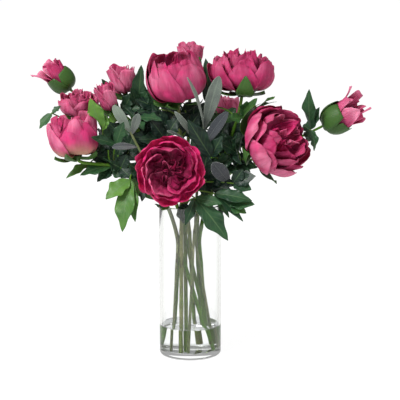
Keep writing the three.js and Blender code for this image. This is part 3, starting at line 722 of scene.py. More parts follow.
CUP = Form((0.32, 0.44), CUP_SEPALS, [
    Layer(5, (0.2, 1.0, 1.2, 0.62), (0.08, -0.12, 0.7, 1.14), 1.5, 0.05, 0.04, 0.2, 0.012, 0.1, 1.0, 1.2),
    Layer(5, (0.2, 0.88, 1.12, 0.54), (0.14, 0.0, 0.72, 1.24), 1.4, 0.05, 0.05, 0.2, 0.014, 0.1, 0.95),
    Layer(5, (0.2, 0.76, 1.04, 0.5), (0.22, 0.1, 0.74, 1.24), 1.3, 0.06, 0.06, 0.2, 0.02, 0.2, 0.8),
    Layer(5, (0.16, 0.5, 0.7, 0.42), (0.36, 0.38, 0.72, 1.02), 1.1, 0.05, 0.08, 0.22, 0.03, 0.4, 0.15, 1.0,
          0.2),
    Layer(5, (0.12, 0.3, 0.44, 0.28), (0.4, 0.44, 0.68, 0.94), 0.9, 0.05, 0.1, 0.26, 0.04, 0.6, 0.1, 1.0,
          0.3),
    Layer(4, (0.08, 0.14, 0.22, 0.14), (0.42, 0.48, 0.66, 0.88), 0.8, 0.04, 0.1, 0.26, 0.05, 0.8, 0.3, 1.0,
          0.4),
])
LOOSE = Form((0.32, 0.44), CUP_SEPALS, [
    Layer(4, (0.2, 1.0, 1.2, 0.76), (0.08, -0.14, 0.6, 1.06), 1.45, 0.06, 0.08, 0.22, 0.02, 0.1, 0.7, 0.6),
    Layer(5, (0.2, 0.86, 1.1, 0.72), (0.14, 0.02, 0.66, 1.2), 1.35, 0.06, 0.12, 0.2, 0.03, 0.2, 0.75, 1.0,
          0.1),
    Layer(5, (0.2, 0.72, 0.94, 0.66), (0.24, 0.18, 0.74, 1.28), 1.3, 0.06, 0.14, 0.22, 0.035, 0.3, 0.8, 1.0,
          0.1),
    Layer(5, (0.16, 0.5, 0.7, 0.5), (0.36, 0.4, 0.76, 1.2), 1.2, 0.05, 0.12, 0.24, 0.04, 0.4, 0.5, 1.0, 0.2),
    Layer(5, (0.12, 0.3, 0.44, 0.3), (0.4, 0.46, 0.72, 1.04), 0.9, 0.05, 0.12, 0.26, 0.05, 0.6, 0.3, 1.0,
          0.3),
])
DOME = Form((0.36, 0.5), CUP_SEPALS, [
    Layer(7, (0.2, 0.94, 1.2, 0.98), (0.08, -0.1, 0.46, 0.88), 1.4, 0.06, 0.06, 0.22, 0.012, 0.1, 0.95, 1.0),
    Layer(7, (0.2, 0.82, 1.08, 0.84), (0.16, 0.04, 0.56, 1.04), 1.35, 0.06, 0.07, 0.22, 0.018, 0.1, 0.9),
    Layer(7, (0.2, 0.7, 0.92, 0.7), (0.26, 0.2, 0.66, 1.14), 1.3, 0.06, 0.08, 0.22, 0.025, 0.2, 0.85, 1.0,
          0.1),
    Layer(7, (0.16, 0.54, 0.72, 0.54), (0.34, 0.34, 0.74, 1.2), 1.2, 0.05, 0.1, 0.24, 0.03, 0.3, 0.8, 1.0,
          0.2),
    Layer(6, (0.14, 0.38, 0.52, 0.38), (0.42, 0.46, 0.8, 1.24), 1.1, 0.05, 0.1, 0.24, 0.035, 0.4, 0.7, 1.0,
          0.3),
    Layer(5, (0.1, 0.22, 0.32, 0.22), (0.46, 0.54, 0.84, 1.22), 1.1, 0.04, 0.1, 0.24, 0.04, 0.6, 0.6, 1.0,
          0.3),
])
YOUNG = Form((0.36, 0.58), YOUNG_SEPALS, [
    Layer(5, (0.2, 0.98, 1.22, 1.04), (0.1, -0.06, 0.66, 1.2), 1.4, 0.06, 0.12, 0.2, 0.03, 0.2, 1.15, 1.2),
    Layer(5, (0.2, 0.8, 1.02, 0.88), (0.26, 0.2, 0.76, 1.34), 1.3, 0.05, 0.14, 0.2, 0.035, 0.3, 1.1, 1.0,
          0.2),
    Layer(5, (0.2, 0.6, 0.78, 0.62), (0.36, 0.34, 0.84, 1.44), 1.3, 0.05, 0.12, 0.22, 0.035, 0.3, 1.2, 1.0,
          0.2),
    Layer(5, (0.16, 0.4, 0.52, 0.42), (0.44, 0.5, 0.9, 1.46), 1.2, 0.04, 0.12, 0.24, 0.04, 0.4, 1.1, 1.0,
          0.3),
    Layer(4, (0.12, 0.2, 0.28, 0.2), (0.5, 0.6, 0.96, 1.46), 1.1, 0.03, 0.1, 0.24, 0.04, 0.6, 1.1, 1.0, 0.3),
])
FLARE = Form((0.36, 0.58), YOUNG_SEPALS, [
    Layer(4, (0.2, 0.94, 0.96, 1.14), (0.1, -0.06, 0.74, 1.24), 1.4, 0.08, 0.1, 0.22, 0.012, 0.1, 1.3, 1.4,
          0.1),
    Layer(4, (0.2, 0.74, 0.8, 0.94), (0.26, 0.2, 0.86, 1.42), 1.35, 0.06, 0.12, 0.22, 0.012, 0.3, 1.2, 1.0,
          0.2),
    Layer(3, (0.2, 0.54, 0.6, 0.68), (0.36, 0.34, 0.94, 1.5), 1.25, 0.05, 0.14, 0.2, 0.025, 0.4, 0.9, 1.0,
          0.2),
    Layer(3, (0.14, 0.28, 0.32, 0.34), (0.44, 0.5, 0.96, 1.46), 1.2, 0.04, 0.12, 0.2, 0.03, 0.5, 0.6, 1.0,
          0.3),
])
BUD = Form((0.4, 0.9), (4, (0.1, 1.24, 1.38, 1.06), (0, -0.12, 0.74, 1.3), 0.95, 0.4), [
    Layer(4, (0.3, 1.0, 0.9, 1.3), (0.14, 0.2, 1.5, 2.3), 1.3, 0.12, 0.14, 0.2, 0.012, 0.3, 1.0, 1.2, 0.3),
    Layer(4, (0.24, 0.8, 0.8, 1.0), (0.3, 0.46, 1.6, 2.4), 1.3, 0.1, 0.16, 0.2, 0.015, 0.3, 0.85, 1.0, 0.3),
    Layer(3, (0.2, 0.5, 0.5, 0.6), (0.4, 0.7, 1.5, 2.4), 1.3, 0.06, 0.16, 0.2, 0.02, 0.4, 0.7, 1.0, 0.3),
])


@dataclass
class Bloom:
    """A bloom's form, radius, the centre of its underside, the way it faces, its height, number and rims, and
    how far its petals are turned. Its calyx: how far the sepals are turned, how long they are, and how long
    all but the first are beside it. Last, how cream its petals' roots are, and its narrow curled petals."""

    form: Form
    radius: float
    seat: Vector
    aim: Vector
    rise: float
    seed: int
    # How pale the petal rims are: partly their own paler edges, partly a painted highlight on the inner
    # petals.
    pale: float
    crimson: bool = False
    turn: float = 0.0
    calyx: tuple = (0.0, 1.0, 1.0)
    cream: float = 0.0
    wisps: tuple = ()

    def __post_init__(self):
        self.seat = Vector(self.seat)
        self.aim = Vector(self.aim).normalized()
        tilt = UP.rotation_difference(self.aim)
        self.side = tilt @ Vector((1, 0, 0))
        self.front = tilt @ Vector((0, 1, 0))

    def keep_out(self):
        """The ball that leaves stay out of, as its centre and radius."""
        high = (0.35 if self.form is OPEN else 0.5) * self.radius * self.rise
        keep = (1.3 if self.form is BUD else 1.16) * self.radius + 2
        return self.seat + self.aim * high, keep


# Narrow curled petals of the buds: how far each is turned, half its angle, its radii and its heights
LEFT_WISPS = ((3.14, 0.28, (0.3, 0.9, 0.75, 1.73), (0.14, 0.5, 1.5, 2.08)),)
RIGHT_WISPS = (
    (2.9, 0.4, (0.3, 0.9, 0.7, 1.62), (0.14, 0.5, 1.5, 2.12)),
    (-0.63, 0.2, (0.2, 0.7, 0.6, 0.58), (0.3, 0.8, 1.8, 2.5)),
)

BLOOMS = {
    "front": Bloom(OPEN, 51, (-31, -54, 316), (-0.05, -0.99, 0.08), 0.9, 1, 0.36, crimson=True),
    "right": Bloom(GLOBE, 56, (116, -6, 344), (0.7, -0.6, 0.38), 1.12, 2, 0.26),
    "top": Bloom(CUP, 48, (-20, 2, 420), (-0.1, -0.15, 0.98), 1.28, 3, 0.2, turn=1.0, calyx=(0.3, 0.6, 1.0)),
    "crown": Bloom(DOME, 49, (83, 20, 430), (0.0, 0.12, 0.98), 1.12, 4, 0.2, calyx=(-0.6, 0.95, 0.5)),
    "left": Bloom(LOOSE, 39, (-180, -31, 334), (-0.12, 0.1, 0.98), 1.4, 5, 0.5, turn=-1.6,
                  calyx=(0.4, 0.7, 1.0), cream=0.6),
    "above": Bloom(YOUNG, 29, (-179, 52, 385), (-0.05, -0.1, 1.0), 0.95, 6, 0.3),
    "back_left": Bloom(FLARE, 21, (-105, 46, 422), (-0.14, 0.0, 0.98), 1.68, 7, 0.5),
    "small_left": Bloom(FLARE, 15, (-126, 2, 402), (-0.3, -0.1, 0.93), 2.2, 8, 0.4),
    "behind": Bloom(FLARE, 20, (0, 76, 462), (0, 0.2, 0.97), 1.35, 9, 0.2),
    "far_right": Bloom(YOUNG, 20, (56, 104, 374), (0.15, 0.3, 0.93), 1.2, 10, 0.5),
    "bud_left": Bloom(BUD, 18, (-199, 98, 422), (-0.67, -0.1, 0.74), 1.5, 11, 0.4, wisps=LEFT_WISPS),
    "bud_right": Bloom(BUD, 21, (218, 30, 373), (0.84, -0.3, 0.53), 1.55, 12, 0.4,
                       calyx=(0.0, 0.96, 1.0), wisps=RIGHT_WISPS),
}


def petal(turn, half, radii, heights, size=1.0, phase=0.0, **others):
    """The seed of one petal or sepal, which lies flat and plain unless other numbers are given."""
    plain = dict.fromkeys("lean shift wave ruffle rounding taper sink twist cream".split(), 0.0)
    named = {"turn": turn, "half": half, "size": size, "phase": phase, "tone": 1.0, "pale": 0.0}
    profile = {f"radius_{k}": radii[k] for k in range(4)} | {f"height_{k}": heights[k] for k in range(4)}
    return plain | named | others | profile


def petal_seeds(flower):
    is_bud = flower.form is BUD
    seeds = []
    for whorl in flower.form.layers:
        count = whorl.count
        for k in range(count):
            number = flower.seed * 100 + whorl.radii[1] * 1000 + k
            aside = 0.5 * chance(whorl.radii[3] * 100) + whorl.stray * (chance(number + 7) - 0.5)
            shrink = 1 - 0.5 * whorl.stray * chance(number + 8)
            seeds.append(petal(
                (k + aside) / count * TAU + flower.turn, whorl.spread * math.pi / count,
                whorl.radii, whorl.heights,
                size=(1 - (0.16 if is_bud else 0.1) * chance(number + 2)) * shrink,
                phase=TAU * chance(number + 3),
                lean=(0.06 + 0.16 * whorl.twist) * (chance(number + 1) - 0.5),
                shift=whorl.shift, wave=whorl.wave, ruffle=whorl.ruffle, rounding=whorl.rounding,
                taper=0.2 if is_bud else 0.0,
                twist=whorl.twist * (chance(number + 4) - 0.5),
                tone=whorl.tone + 0.3 * (chance(number + 5) - 0.5),
                pale=min(0.95, flower.pale * (0.1 + 2.2 * chance(number + 6) ** 2) * whorl.rims),
                cream=flower.cream if whorl is flower.form.layers[0] else 0.0,
            ))
    for k, wisp in enumerate(flower.wisps):
        curl = {"shift": 0.02, "wave": 0.08, "ruffle": 0.01, "taper": 0.85}
        seeds.append(petal(*wisp, phase=TAU * chance(k + 60), pale=0.6, **curl))
    return seeds


def bloom_inputs(flower, grid, crumple):
    """The whorl tree's inputs for one bloom."""
    place = {"Seat": flower.seat * MM, "Side": flower.side, "Front": flower.front, "Aim": flower.aim}
    sizes = {"Radius": flower.radius * MM, "Rise": float(flower.rise), "Crumple": crumple}
    return grid | place | sizes | {"Crumple_Scale": CRUMPLE_SCALE}


# Stems and leaves


class Bezier:
    """A smooth way from its first point to its last, drawn towards those between."""

    def __init__(self, *points):
        self.points = points

    def point(self, t):
        points = list(self.points)
        while len(points) > 1:
            points = [a.lerp(b, t) for a, b in zip(points, points[1:])]
        return points[0]

    def tangent(self, t):
        step = 0.0001
        return (self.point(min(1, t + step)) - self.point(max(0, t - step))).normalized()


class StemWay(Bezier):
    """A stem's way: straight from its foot to the neck of the bunch, then bent to where its bloom sits."""

    def __init__(self, foot, neck, seat, aim, lift, reach):
        rise = (neck - foot).normalized().lerp(UP, UPTURN)
        super().__init__(foot, neck)
        self.bend = Bezier(neck, neck + rise * lift, seat - aim * reach, seat)

    def point(self, t):
        if t < STRAIGHT:
            return self.points[0].lerp(self.points[1], t / STRAIGHT)
        return self.bend.point((t - STRAIGHT) / (1 - STRAIGHT))


class Stem(NamedTuple):
    """A stem's foot and neck, its lift and reach there, its tone, and its side branches, each as its share of
    the way up and its bloom."""

    foot: tuple
    neck: tuple
    lift: float
    reach: float
    tone: float
    branches: tuple = ()


STEMS = {
    "front": Stem((8, 38), (0, -4), 90, 25, 0.45),
    "right": Stem((-28, 27), (-18, 3), 50, 30, 0.15, ((0.55, "bud_right"),)),
    "top": Stem((-14, -36), (-14, -20), 80, 80, 0.55),
    "crown": Stem((28, 27), (15, 12), 50, 50, 0.1),
    "left": Stem((34, -19), (-17, -12), 185, 30, 0.1, ((0.4, "above"),)),
    "back_left": Stem((35, 12), (-6, 20), 110, 70, 0.2, ((0.7, "small_left"), (0.75, "bud_left"))),
    "behind": Stem((-6, -28), (-8, 7), 90, 90, 0.4),
    "far_right": Stem((20, 33), (11, 18), 90, 80, 0.3),
}


def stem_foot(stem):
    """A stem's end stands on the vase's floor, higher at its middle the more the stem leans."""
    across = math.hypot(stem.neck[0] - stem.foot[0], stem.neck[1] - stem.foot[1])
    lean = across / (NECK_HEIGHT - VASE_FLOOR)
    return Vector((*stem.foot, VASE_FLOOR + GAP + STEM_RADIUS * math.sin(math.atan(lean))))


def branch_way(parent, at, flower):
    root = parent.point(at)
    end = flower.seat - flower.aim * SEAT_INSET
    span = 0.35 * (end - root).length
    return Bezier(root, root + parent.tangent(at) * span, end - flower.aim * span, end)


def stem_ways():
    """The ways of all stems and branches, each by its bloom."""
    ways = {}
    for name, stem in STEMS.items():
        flower = BLOOMS[name]
        neck = Vector((*stem.neck, NECK_HEIGHT))
        end = flower.seat - flower.aim * SEAT_INSET
        ways[name] = StemWay(stem_foot(stem), neck, end, flower.aim, stem.lift, stem.reach)
        for at, branch in stem.branches:
            ways[branch] = branch_way(ways[name], at, BLOOMS[branch])
    return ways


WAYS = stem_ways()


def clear_of_blooms(point):
    """A point moved out of the balls that the blooms keep free of leaves."""
    for flower in BLOOMS.values():
        centre, keep = flower.keep_out()
        away = point - centre
        if away.length < keep:
            point = centre + away.normalized() * keep
    return point


def petiole_way(way, node, drop):
    """A petiole starts on its stem a little below the point nearest to the leaf."""
    shares = [0.1 + 0.01 * k for k in range(87)]
    nearest = min(shares, key=lambda t: (way.point(t) - node).length)
    at = max(LOWEST_PETIOLE, nearest - drop)
    root = way.point(at)
    span = (root - node).length
    mid = root + way.tangent(at) * 0.5 * span
    return Bezier(root, mid, node + (node - mid).normalized() * PETIOLE_RADIUS)


class Leaf(NamedTuple):
    """A leaf: the bloom whose stem it grows on, where its leaflets meet, how bright it is, each leaflet's tip
    and half width, the way it faces, and how far below it its petiole starts, as a share of the stem."""

    on: str
    node: tuple
    # The tone: low for the leaves deep in the bunch, where it partly paints their shade.
    tone: float
    leaflets: list
    face: tuple = (0, -0.8, 0.6)
    drop: float = 0.07


LEAVES = [
    Leaf("left", (-94, -56, 300), 0.62, [(-132, -75, 272, 14), (-106, -85, 222, 16), (-86, -76, 236, 11),
         (-58, -30, 262, 11)], (-0.3, -0.8, 0.5)),
    Leaf("left", (-117, -36, 352), 0.25, [(-158, -60, 368, 8), (-104, -46, 390, 10)]),
    Leaf("left", (-124, -20, 316), 0.3, [(-174, -38, 303, 12), (-148, -20, 289, 12),
         (-136, -48, 332, 9)], (0, -0.6, 0.8)),
    Leaf("left", (-158, -6, 318), 0.7, [(-198, -12, 293, 8)], (0, -0.6, 0.8)),
    Leaf("above", (-221, 14, 394), 0.3, [(-241, 8, 370, 8), (-207, 18, 405, 5)], (-0.3, -0.7, 0.6), 0.25),
    Leaf("above", (-152, -28, 370), 0.8, [(-157, -36, 426, 13), (-132, -30, 398, 8)], (-0.2, -0.9, 0.3)),
    Leaf("above", (-132, 36, 368), 0.8, [(-150, 32, 398, 9), (-112, 38, 398, 8)]),
    Leaf("back_left", (-88, 4, 388), 0.3, [(-44, -34, 390, 11), (-73, -38, 375, 9),
         (-112, 18, 408, 7)], (0, -0.5, 0.85)),
    Leaf("back_left", (-84, 34, 400), 0.2, [(-78, 25, 470, 12), (-94, 8, 436, 8),
         (-66, 20, 430, 11)], (0, -0.9, 0.3)),
    Leaf("crown", (88, 0, 388), 0.5, [(88, -8, 430, 8), (112, 0, 412, 11), (62, -26, 390, 10),
         (106, -28, 425, 9)], (0, -0.8, 0.5)),
    Leaf("crown", (100, 20, 392), 0.6, [(139, 8, 410, 9), (135, -6, 424, 8)], (0, -0.8, 0.5)),
    Leaf("crown", (30, 52, 400), 0.1, [(25, 58, 476, 12)], (0.1, -0.9, 0.2)),
    Leaf("small_left", (-128, 24, 430), 0.3, [(-141, 16, 449, 5)], (-0.2, -0.9, 0.3)),
    Leaf("right", (84, -12, 334), 0.15, [(44, -30, 355, 12), (79, -38, 372, 12),
         (80, -46, 322, 12)], (0, -0.7, 0.7)),
    Leaf("front", (38, -50, 276), 0.35, [(98, -60, 266, 12), (84, -56, 232, 9),
         (62, -46, 236, 8)], (0.3, -0.7, 0.6)),
    Leaf("right", (70, -6, 312), 0.1, [(98, -20, 292, 12), (64, -36, 330, 10)], (0.2, -0.7, 0.6)),
    Leaf("front", (8, -56, 270), 0.3, [(60, -73, 205, 16), (-8, -66, 228, 8),
         (51, -68, 263, 9)], (0.2, -0.9, 0.4)),
    Leaf("crown", (34, -30, 330), 0.15, [(-3, -45, 393, 15), (51, -36, 366, 11)], (-0.2, -0.9, 0.4)),
    Leaf("front", (-40, -14, 356), 0.1, [(-63, -24, 390, 12), (-18, -12, 392, 12),
         (-84, -20, 356, 11)], (0, -0.7, 0.6)),
    Leaf("bud_right", (186, 8, 366), 0.2, [(189, -8, 436, 11), (206, 0, 406, 8), (197, -4, 336, 12),
         (190, 26, 346, 11), (182, 30, 372, 10)], (-0.3, -0.9, 0.3)),
    Leaf("crown", (72, 44, 380), 0.4, [(118, 70, 392, 11), (112, 94, 384, 10)], (0.2, 0.7, 0.7)),
    Leaf("behind", (-8, 48, 392), 0.3, [(-52, 80, 412, 12), (-12, 104, 384, 12)], (0, 0.6, 0.8)),
    Leaf("back_left", (-58, 48, 344), 0.3, [(-108, 84, 356, 12), (-58, 104, 344, 13),
         (-20, 84, 350, 10)], (-0.2, 0.7, 0.7)),
    Leaf("far_right", (42, 62, 306), 0.3, [(96, 84, 300, 13), (44, 112, 296, 13),
         (8, 86, 318, 11)], (0.3, 0.6, 0.7)),
    Leaf("right", (104, 18, 310), 0.4, [(150, 40, 300, 12), (116, 60, 322, 12)], (0.4, 0.5, 0.7)),
]
# Leaves that fill the middle of the bunch, whose low tones partly paint the shade inside it
FILLERS = [
    Leaf("top", (-35, 10, 371), 0.1, [(-80, 0, 398, 13), (-61, 10, 410, 12),
         (-19, 20, 405, 12)], (-0.1, -0.85, 0.5)),
    Leaf("front", (-51, -5, 351), 0.08, [(-95, -20, 363, 13), (-89, -25, 341, 11),
         (-64, 5, 381, 12)], (-0.2, -0.85, 0.5)),
    Leaf("top", (-7, 0, 366), 0.1, [(-16, 10, 403, 12), (16, -5, 399, 12),
         (25, 0, 376, 12)], (0.1, -0.9, 0.4)),
    Leaf("crown", (38, 5, 339), 0.1, [(70, -10, 358, 14), (61, 10, 380, 12),
         (24, 15, 363, 12)], (0.1, -0.8, 0.6)),
    Leaf("right", (35, -10, 313), 0.15, [(73, -20, 328, 12), (80, -15, 304, 11),
         (51, -25, 290, 12)], (0.2, -0.8, 0.6)),
    Leaf("crown", (51, 30, 367), 0.4, [(83, 25, 384, 13), (74, 30, 403, 11),
         (35, 35, 392, 12)], (0.1, -0.8, 0.6)),
    Leaf("right", (25, -25, 290), 0.12, [(57, -40, 302, 12), (67, -45, 277, 12), (76, -36, 288, 11),
         (22, -40, 267, 10)], (0.1, -0.9, 0.4)),
    Leaf("right", (67, 10, 348), 0.2, [(89, 0, 337, 11), (96, 15, 360, 11),
         (61, 20, 369, 12)], (0.2, -0.8, 0.6)),
    Leaf("left", (-115, -10, 329), 0.12, [(-146, -20, 328, 12), (-137, -10, 345, 11),
         (-105, -5, 351, 11)], (-0.2, -0.8, 0.6)),
    Leaf("back_left", (-109, 10, 354), 0.15, [(-141, 0, 359, 12), (-131, 10, 380, 12), (-96, 15, 383, 13)]),
    Leaf("left", (-125, -15, 310), 0.3, [(-156, -25, 306, 11), (-143, -30, 294, 11),
         (-102, -30, 297, 11)], (-0.1, -0.7, 0.7)),
    Leaf("left", (-99, -5, 334), 0.08, [(-125, 5, 365, 11), (-90, 0, 366, 11), (-86, -15, 323, 11),
         (-114, 2, 314, 12)], (0, -0.9, 0.4)),
    Leaf("back_left", (-110, 30, 393), 0.15, [(-145, 30, 406, 10), (-90, 25, 427, 10), (-80, 20, 401, 11)]),
    Leaf("front", (-16, -25, 252), 0.1, [(9, -35, 236, 9), (-10, -32, 223, 8)], (0, -0.9, 0.4)),
    Leaf("behind", (-13, 50, 377), 0.05, [(-49, 60, 401, 15), (13, 60, 405, 14), (-36, 50, 351, 15),
         (13, 50, 347, 15), (-12, 54, 346, 14)]),
    Leaf("behind", (-60, 62, 372), 0.08, [(-98, 56, 396, 14), (-74, 58, 414, 13), (-90, 60, 370, 13)]),
    Leaf("far_right", (52, 55, 327), 0.05, [(81, 60, 349, 15), (81, 55, 310, 15), (26, 50, 344, 14),
         (42, 50, 291, 14)], (0.1, -0.8, 0.6)),
    Leaf("back_left", (-94, 45, 345), 0.05, [(-130, 55, 366, 15), (-124, 50, 324, 15), (-68, 50, 367, 14),
         (-75, 45, 315, 15)], (-0.1, -0.8, 0.6)),
    Leaf("left", (-126, -10, 322), 0.12, [(-166, -22, 334, 12), (-152, -15, 316, 11)]),
    Leaf("top", (-50, 25, 398), 0.1, [(-88, 20, 416, 12), (-70, 28, 430, 11), (-84, 10, 396, 11)]),
    Leaf("front", (20, -28, 298), 0.08, [(28, -30, 338, 13), (44, -34, 312, 12), (2, -18, 357, 12)]),
    Leaf("front", (68, -38, 290), 0.15, [(102, -45, 302, 11), (97, -50, 282, 12),
         (84, -42, 314, 10)], (0.2, -0.8, 0.5)),
    Leaf("front", (56, -48, 262), 0.4, [(102, -58, 260, 12), (89, -55, 245, 11)], (0.2, -0.8, 0.5)),
    Leaf("front", (-44, -60, 268), 0.5, [(-50, -66, 257, 8), (-34, -64, 254, 7)], (-0.1, -0.8, 0.6)),
    Leaf("crown", (4, 20, 372), 0.08, [(8, 10, 426, 13), (26, 16, 412, 13),
         (36, 8, 380, 13)], (0, -0.9, 0.4)),
    Leaf("left", (-128, -10, 352), 0.1, [(-150, -10, 380, 12), (-140, -14, 344, 11), (-161, -8, 367, 11),
         (-154, -6, 341, 11)], (0, -0.9, 0.4)),
    Leaf("left", (-128, 16, 344), 0.1, [(-160, 20, 342, 13), (-156, 20, 322, 13), (-146, 18, 364, 12)]),
    Leaf("left", (-110, -24, 312), 0.1, [(-128, -30, 322, 11), (-120, -30, 298, 11), (-100, -26, 334, 11),
         (-94, -34, 298, 11)], (0, -0.9, 0.4)),
    Leaf("right", (62, -10, 330), 0.08, [(82, -14, 346, 11), (88, -20, 322, 11)], (0, -0.9, 0.4)),
    Leaf("right", (66, 20, 354), 0.1, [(77, 14, 386, 12), (92, 26, 352, 12),
         (92, 26, 338, 12)], (0.1, -0.9, 0.4)),
    Leaf("right", (74, 4, 322), 0.1, [(108, 10, 306, 12), (104, 6, 322, 11)], (0.1, -0.9, 0.4)),
    Leaf("front", (-66, -30, 300), 0.12, [(-98, -40, 322, 12), (-98, -45, 296, 12), (-88, -40, 272, 12),
         (-76, -54, 264, 10)], (-0.1, -0.8, 0.6)),
]

# Each lamb's-ear sprig: its foot, neck, end, aim and leaves. Each leaf: its share of the way up, tip, half
# width, face and tone
SPRIGS = {
    "centre": ((38, -3), (10, -9), (22, -12, 376), (0.1, 0, 1), (
        (0.98, (-4, -62, 463), 4, (0.9, -0.4, 0), 0.9),
        (0.97, (46, -34, 461), 11, (0, -1, 0.1), 0.5),
        (0.84, (-24, -40, 406), 5, (0, -1, 0.3), 0.7),
        (0.8, (60, -34, 404), 10, (-0.4, -0.8, 0.3), -0.1),
        (0.76, (-36, -44, 376), 6, (0, -0.8, 0.6), 0.3),
    )),
    "right": ((-3, -38), (5, -21), (68, -24, 290), (0.9, -0.1, 0.3), (
        (0.97, (36, -70, 330), 12, (0.3, -0.8, -0.4), -0.15),
        (0.98, (106, -48, 308), 9, (0, -0.8, 0.5), 0.5),
        (0.85, (50, -52, 238), 4, (0, -1, 0.2), 0.6),
    )),
    "left": ((-28, -25), (-20, -21), (-94, -34, 372), (-0.4, 0, 0.9), (
        (0.98, (-121, -30, 414), 8, (0, -0.9, 0.4), 0.8),
        (0.86, (-122, -62, 352), 7, (0, -0.7, 0.7), 0.2),
        (0.97, (-80, -52, 404), 7, (0, -0.9, 0.4), 0.5),
    )),
}


def leaflet_seed(root, tip, half, face, number, tone, sag=0.12, fold=0.18, lobes=0.13, blunt=0.0):
    root = Vector(root)
    tip = Vector(tip)
    start = root.lerp(tip, ROOT_INSET / (tip - root).length)
    return {
        "root": start * MM, "tip": tip * MM, "face": Vector(face).normalized(), "half": half * MM, "sag": sag,
        "fold": fold, "lobes": lobes, "blunt": blunt, "wave": 0.0 if blunt else 0.14,
        "phase": TAU * chance(number), "tone": tone + 0.25 * (chance(number + 1) - 0.5),
    }


def way_seeds(way, radius, thin, tone, steps, knots=0.0):
    """Points along a way with how thick the stalk is there, down to a thin end and thicker at its knots."""
    seeds = []
    length = 0.0
    last = way.point(0)
    for k in range(steps + 1):
        t = k / steps
        place = way.point(t)
        length += (place - last).length
        last = place
        from_knot = (length + KNOT_START) % KNOT_SPACING - 0.5 * KNOT_SPACING
        swell = knots * math.exp(-(from_knot / KNOT_LENGTH) ** 2)
        thick = radius * (1 + (thin - 1) * t) * (1 + swell)
        seeds.append({"place": place * MM, "thick": thick * MM, "tone": tone})
    return seeds


def grow_stalks(name, runs, group, skin, sides):
    seeds = []
    lines = []
    for run in runs:
        lines += [(len(seeds) + k, len(seeds) + k + 1) for k in range(len(run) - 1)]
        seeds += run
    return grow(name, seed_mesh(name, seeds, lines), group, [skin], Sides=sides)


def stem_seeds(name):
    """The stalks and the leaflets of one stem with its branches."""
    stem = STEMS[name]
    runs = [way_seeds(WAYS[name], STEM_RADIUS, STEM_TAPER, stem.tone, STEM_STEPS, KNOT_SWELL)]
    for _, branch in stem.branches:
        runs.append(way_seeds(WAYS[branch], BRANCH_RADIUS, BRANCH_TAPER, stem.tone, BRANCH_STEPS))
    blades = []
    carried = carried_by(name)
    foot = PETIOLE_FOOT * PETIOLE_RADIUS
    thin = STEM_TAPER / PETIOLE_FOOT
    for number, grown in enumerate(LEAVES + FILLERS):
        if grown.on in carried:
            node = clear_of_blooms(Vector(grown.node))
            way = petiole_way(WAYS[grown.on], node, grown.drop)
            runs.append(way_seeds(way, foot, thin, 0.1 + 0.4 * stem.tone, PETIOLE_STEPS))
            for k, (*tip, half) in enumerate(grown.leaflets):
                blades.append(leaflet_seed(node, tip, half, grown.face, 10 * number + k, grown.tone))
    return runs, blades


def carried_by(name):
    """A stem's own bloom and those of its branches."""
    return [name, *(branch for _, branch in STEMS[name].branches)]


def sepal_seeds(flower):
    number = flower.seed * 7
    count, radii, heights, half, taper = flower.form.sepals
    turned_by, long, behind = flower.calyx
    seeds = []
    for k in range(count):
        aside = turned_by + 0.2 * (chance(flower.seed * 10 + k) - 0.5)
        shrink = 1 - (0.1 if flower.form is BUD else 0.3) * chance(flower.seed * 20 + k)
        seeds.append(petal(
            ((k + 0.5) / count - 0.25) * TAU + aside, half, radii, heights,
            size=shrink * long * (behind if k else 1), phase=TAU * chance(number + k), shift=0.04, wave=0.02,
            ruffle=0.004, taper=taper, sink=0.4 * receptacle_radius(flower) * MM,
            tone=0.25 + 0.5 * chance(number + k + 50),
        ))
    return seeds


def receptacle_radius(flower):
    return max(RECEPTACLE * flower.radius, SMALLEST_RECEPTACLE)


def receptacle(name, flower, skin):
    wide = receptacle_radius(flower)
    deep = 0.9 * wide
    profile = [(0, -deep - GAP), (0.5 * wide, -deep - GAP), (0.8 * wide, -0.5 * deep)]
    profile += [(wide, -0.1 * deep), (0.9 * wide, -GAP), (0, -GAP)]
    scaled = [(radius * MM, height * MM) for radius, height in profile]
    return turned(name, scaled, CORE_SIDES, skin, flower.seat * MM, flower.aim)


def core(name, flower, skin):
    wide, high = flower.form.core
    wide *= flower.radius * MM
    high *= flower.radius * flower.rise * MM
    shape = [(0, 0), (0.55, 0), (0.9, 0.25), (1, 0.5), (0.85, 0.8), (0.5, 1), (0, 1.02)]
    profile = [(out * wide, up * high) for out, up in shape]
    return turned(name, profile, CORE_SIDES, skin, flower.seat * MM, flower.aim)


# What a user would change


def number_prop(label, text, default, **kind):
    return bpy.props.FloatProperty(name=label, description=text, default=default, **kind)


def length_prop(label, text, default):
    return number_prop(label, text, default, min=0, unit="LENGTH", precision=5)


def colour_prop(label, text, default):
    limits = {"size": 3, "min": 0, "max": 1, "subtype": "COLOR"}
    return bpy.props.FloatVectorProperty(name=label, description=text, default=default, **limits)


class BouquetVase(bpy.types.PropertyGroup):
    wall: length_prop("Wall", "Thickness of the glass wall", 0.0033)
    floor: length_prop("Floor", "Thickness of the glass floor", 0.010)
    heel: length_prop("Heel", "Radius of the rounded heel", 0.006)
    meniscus: length_prop("Meniscus", "How far the water climbs at the glass", 0.001)
    glass: colour_prop("Glass", "Tint of the glass", (0.985, 0.99, 0.985))
    glass_edge: colour_prop("Glass edge", "Tint of the glass at its sides", (0.56, 0.58, 0.53))
    water: colour_prop("Water", "Tint of the water", (0.97, 0.98, 0.985))
    water_edge: colour_prop("Water edge", "Tint of the water's surface from aside", (0.8, 0.83, 0.85))


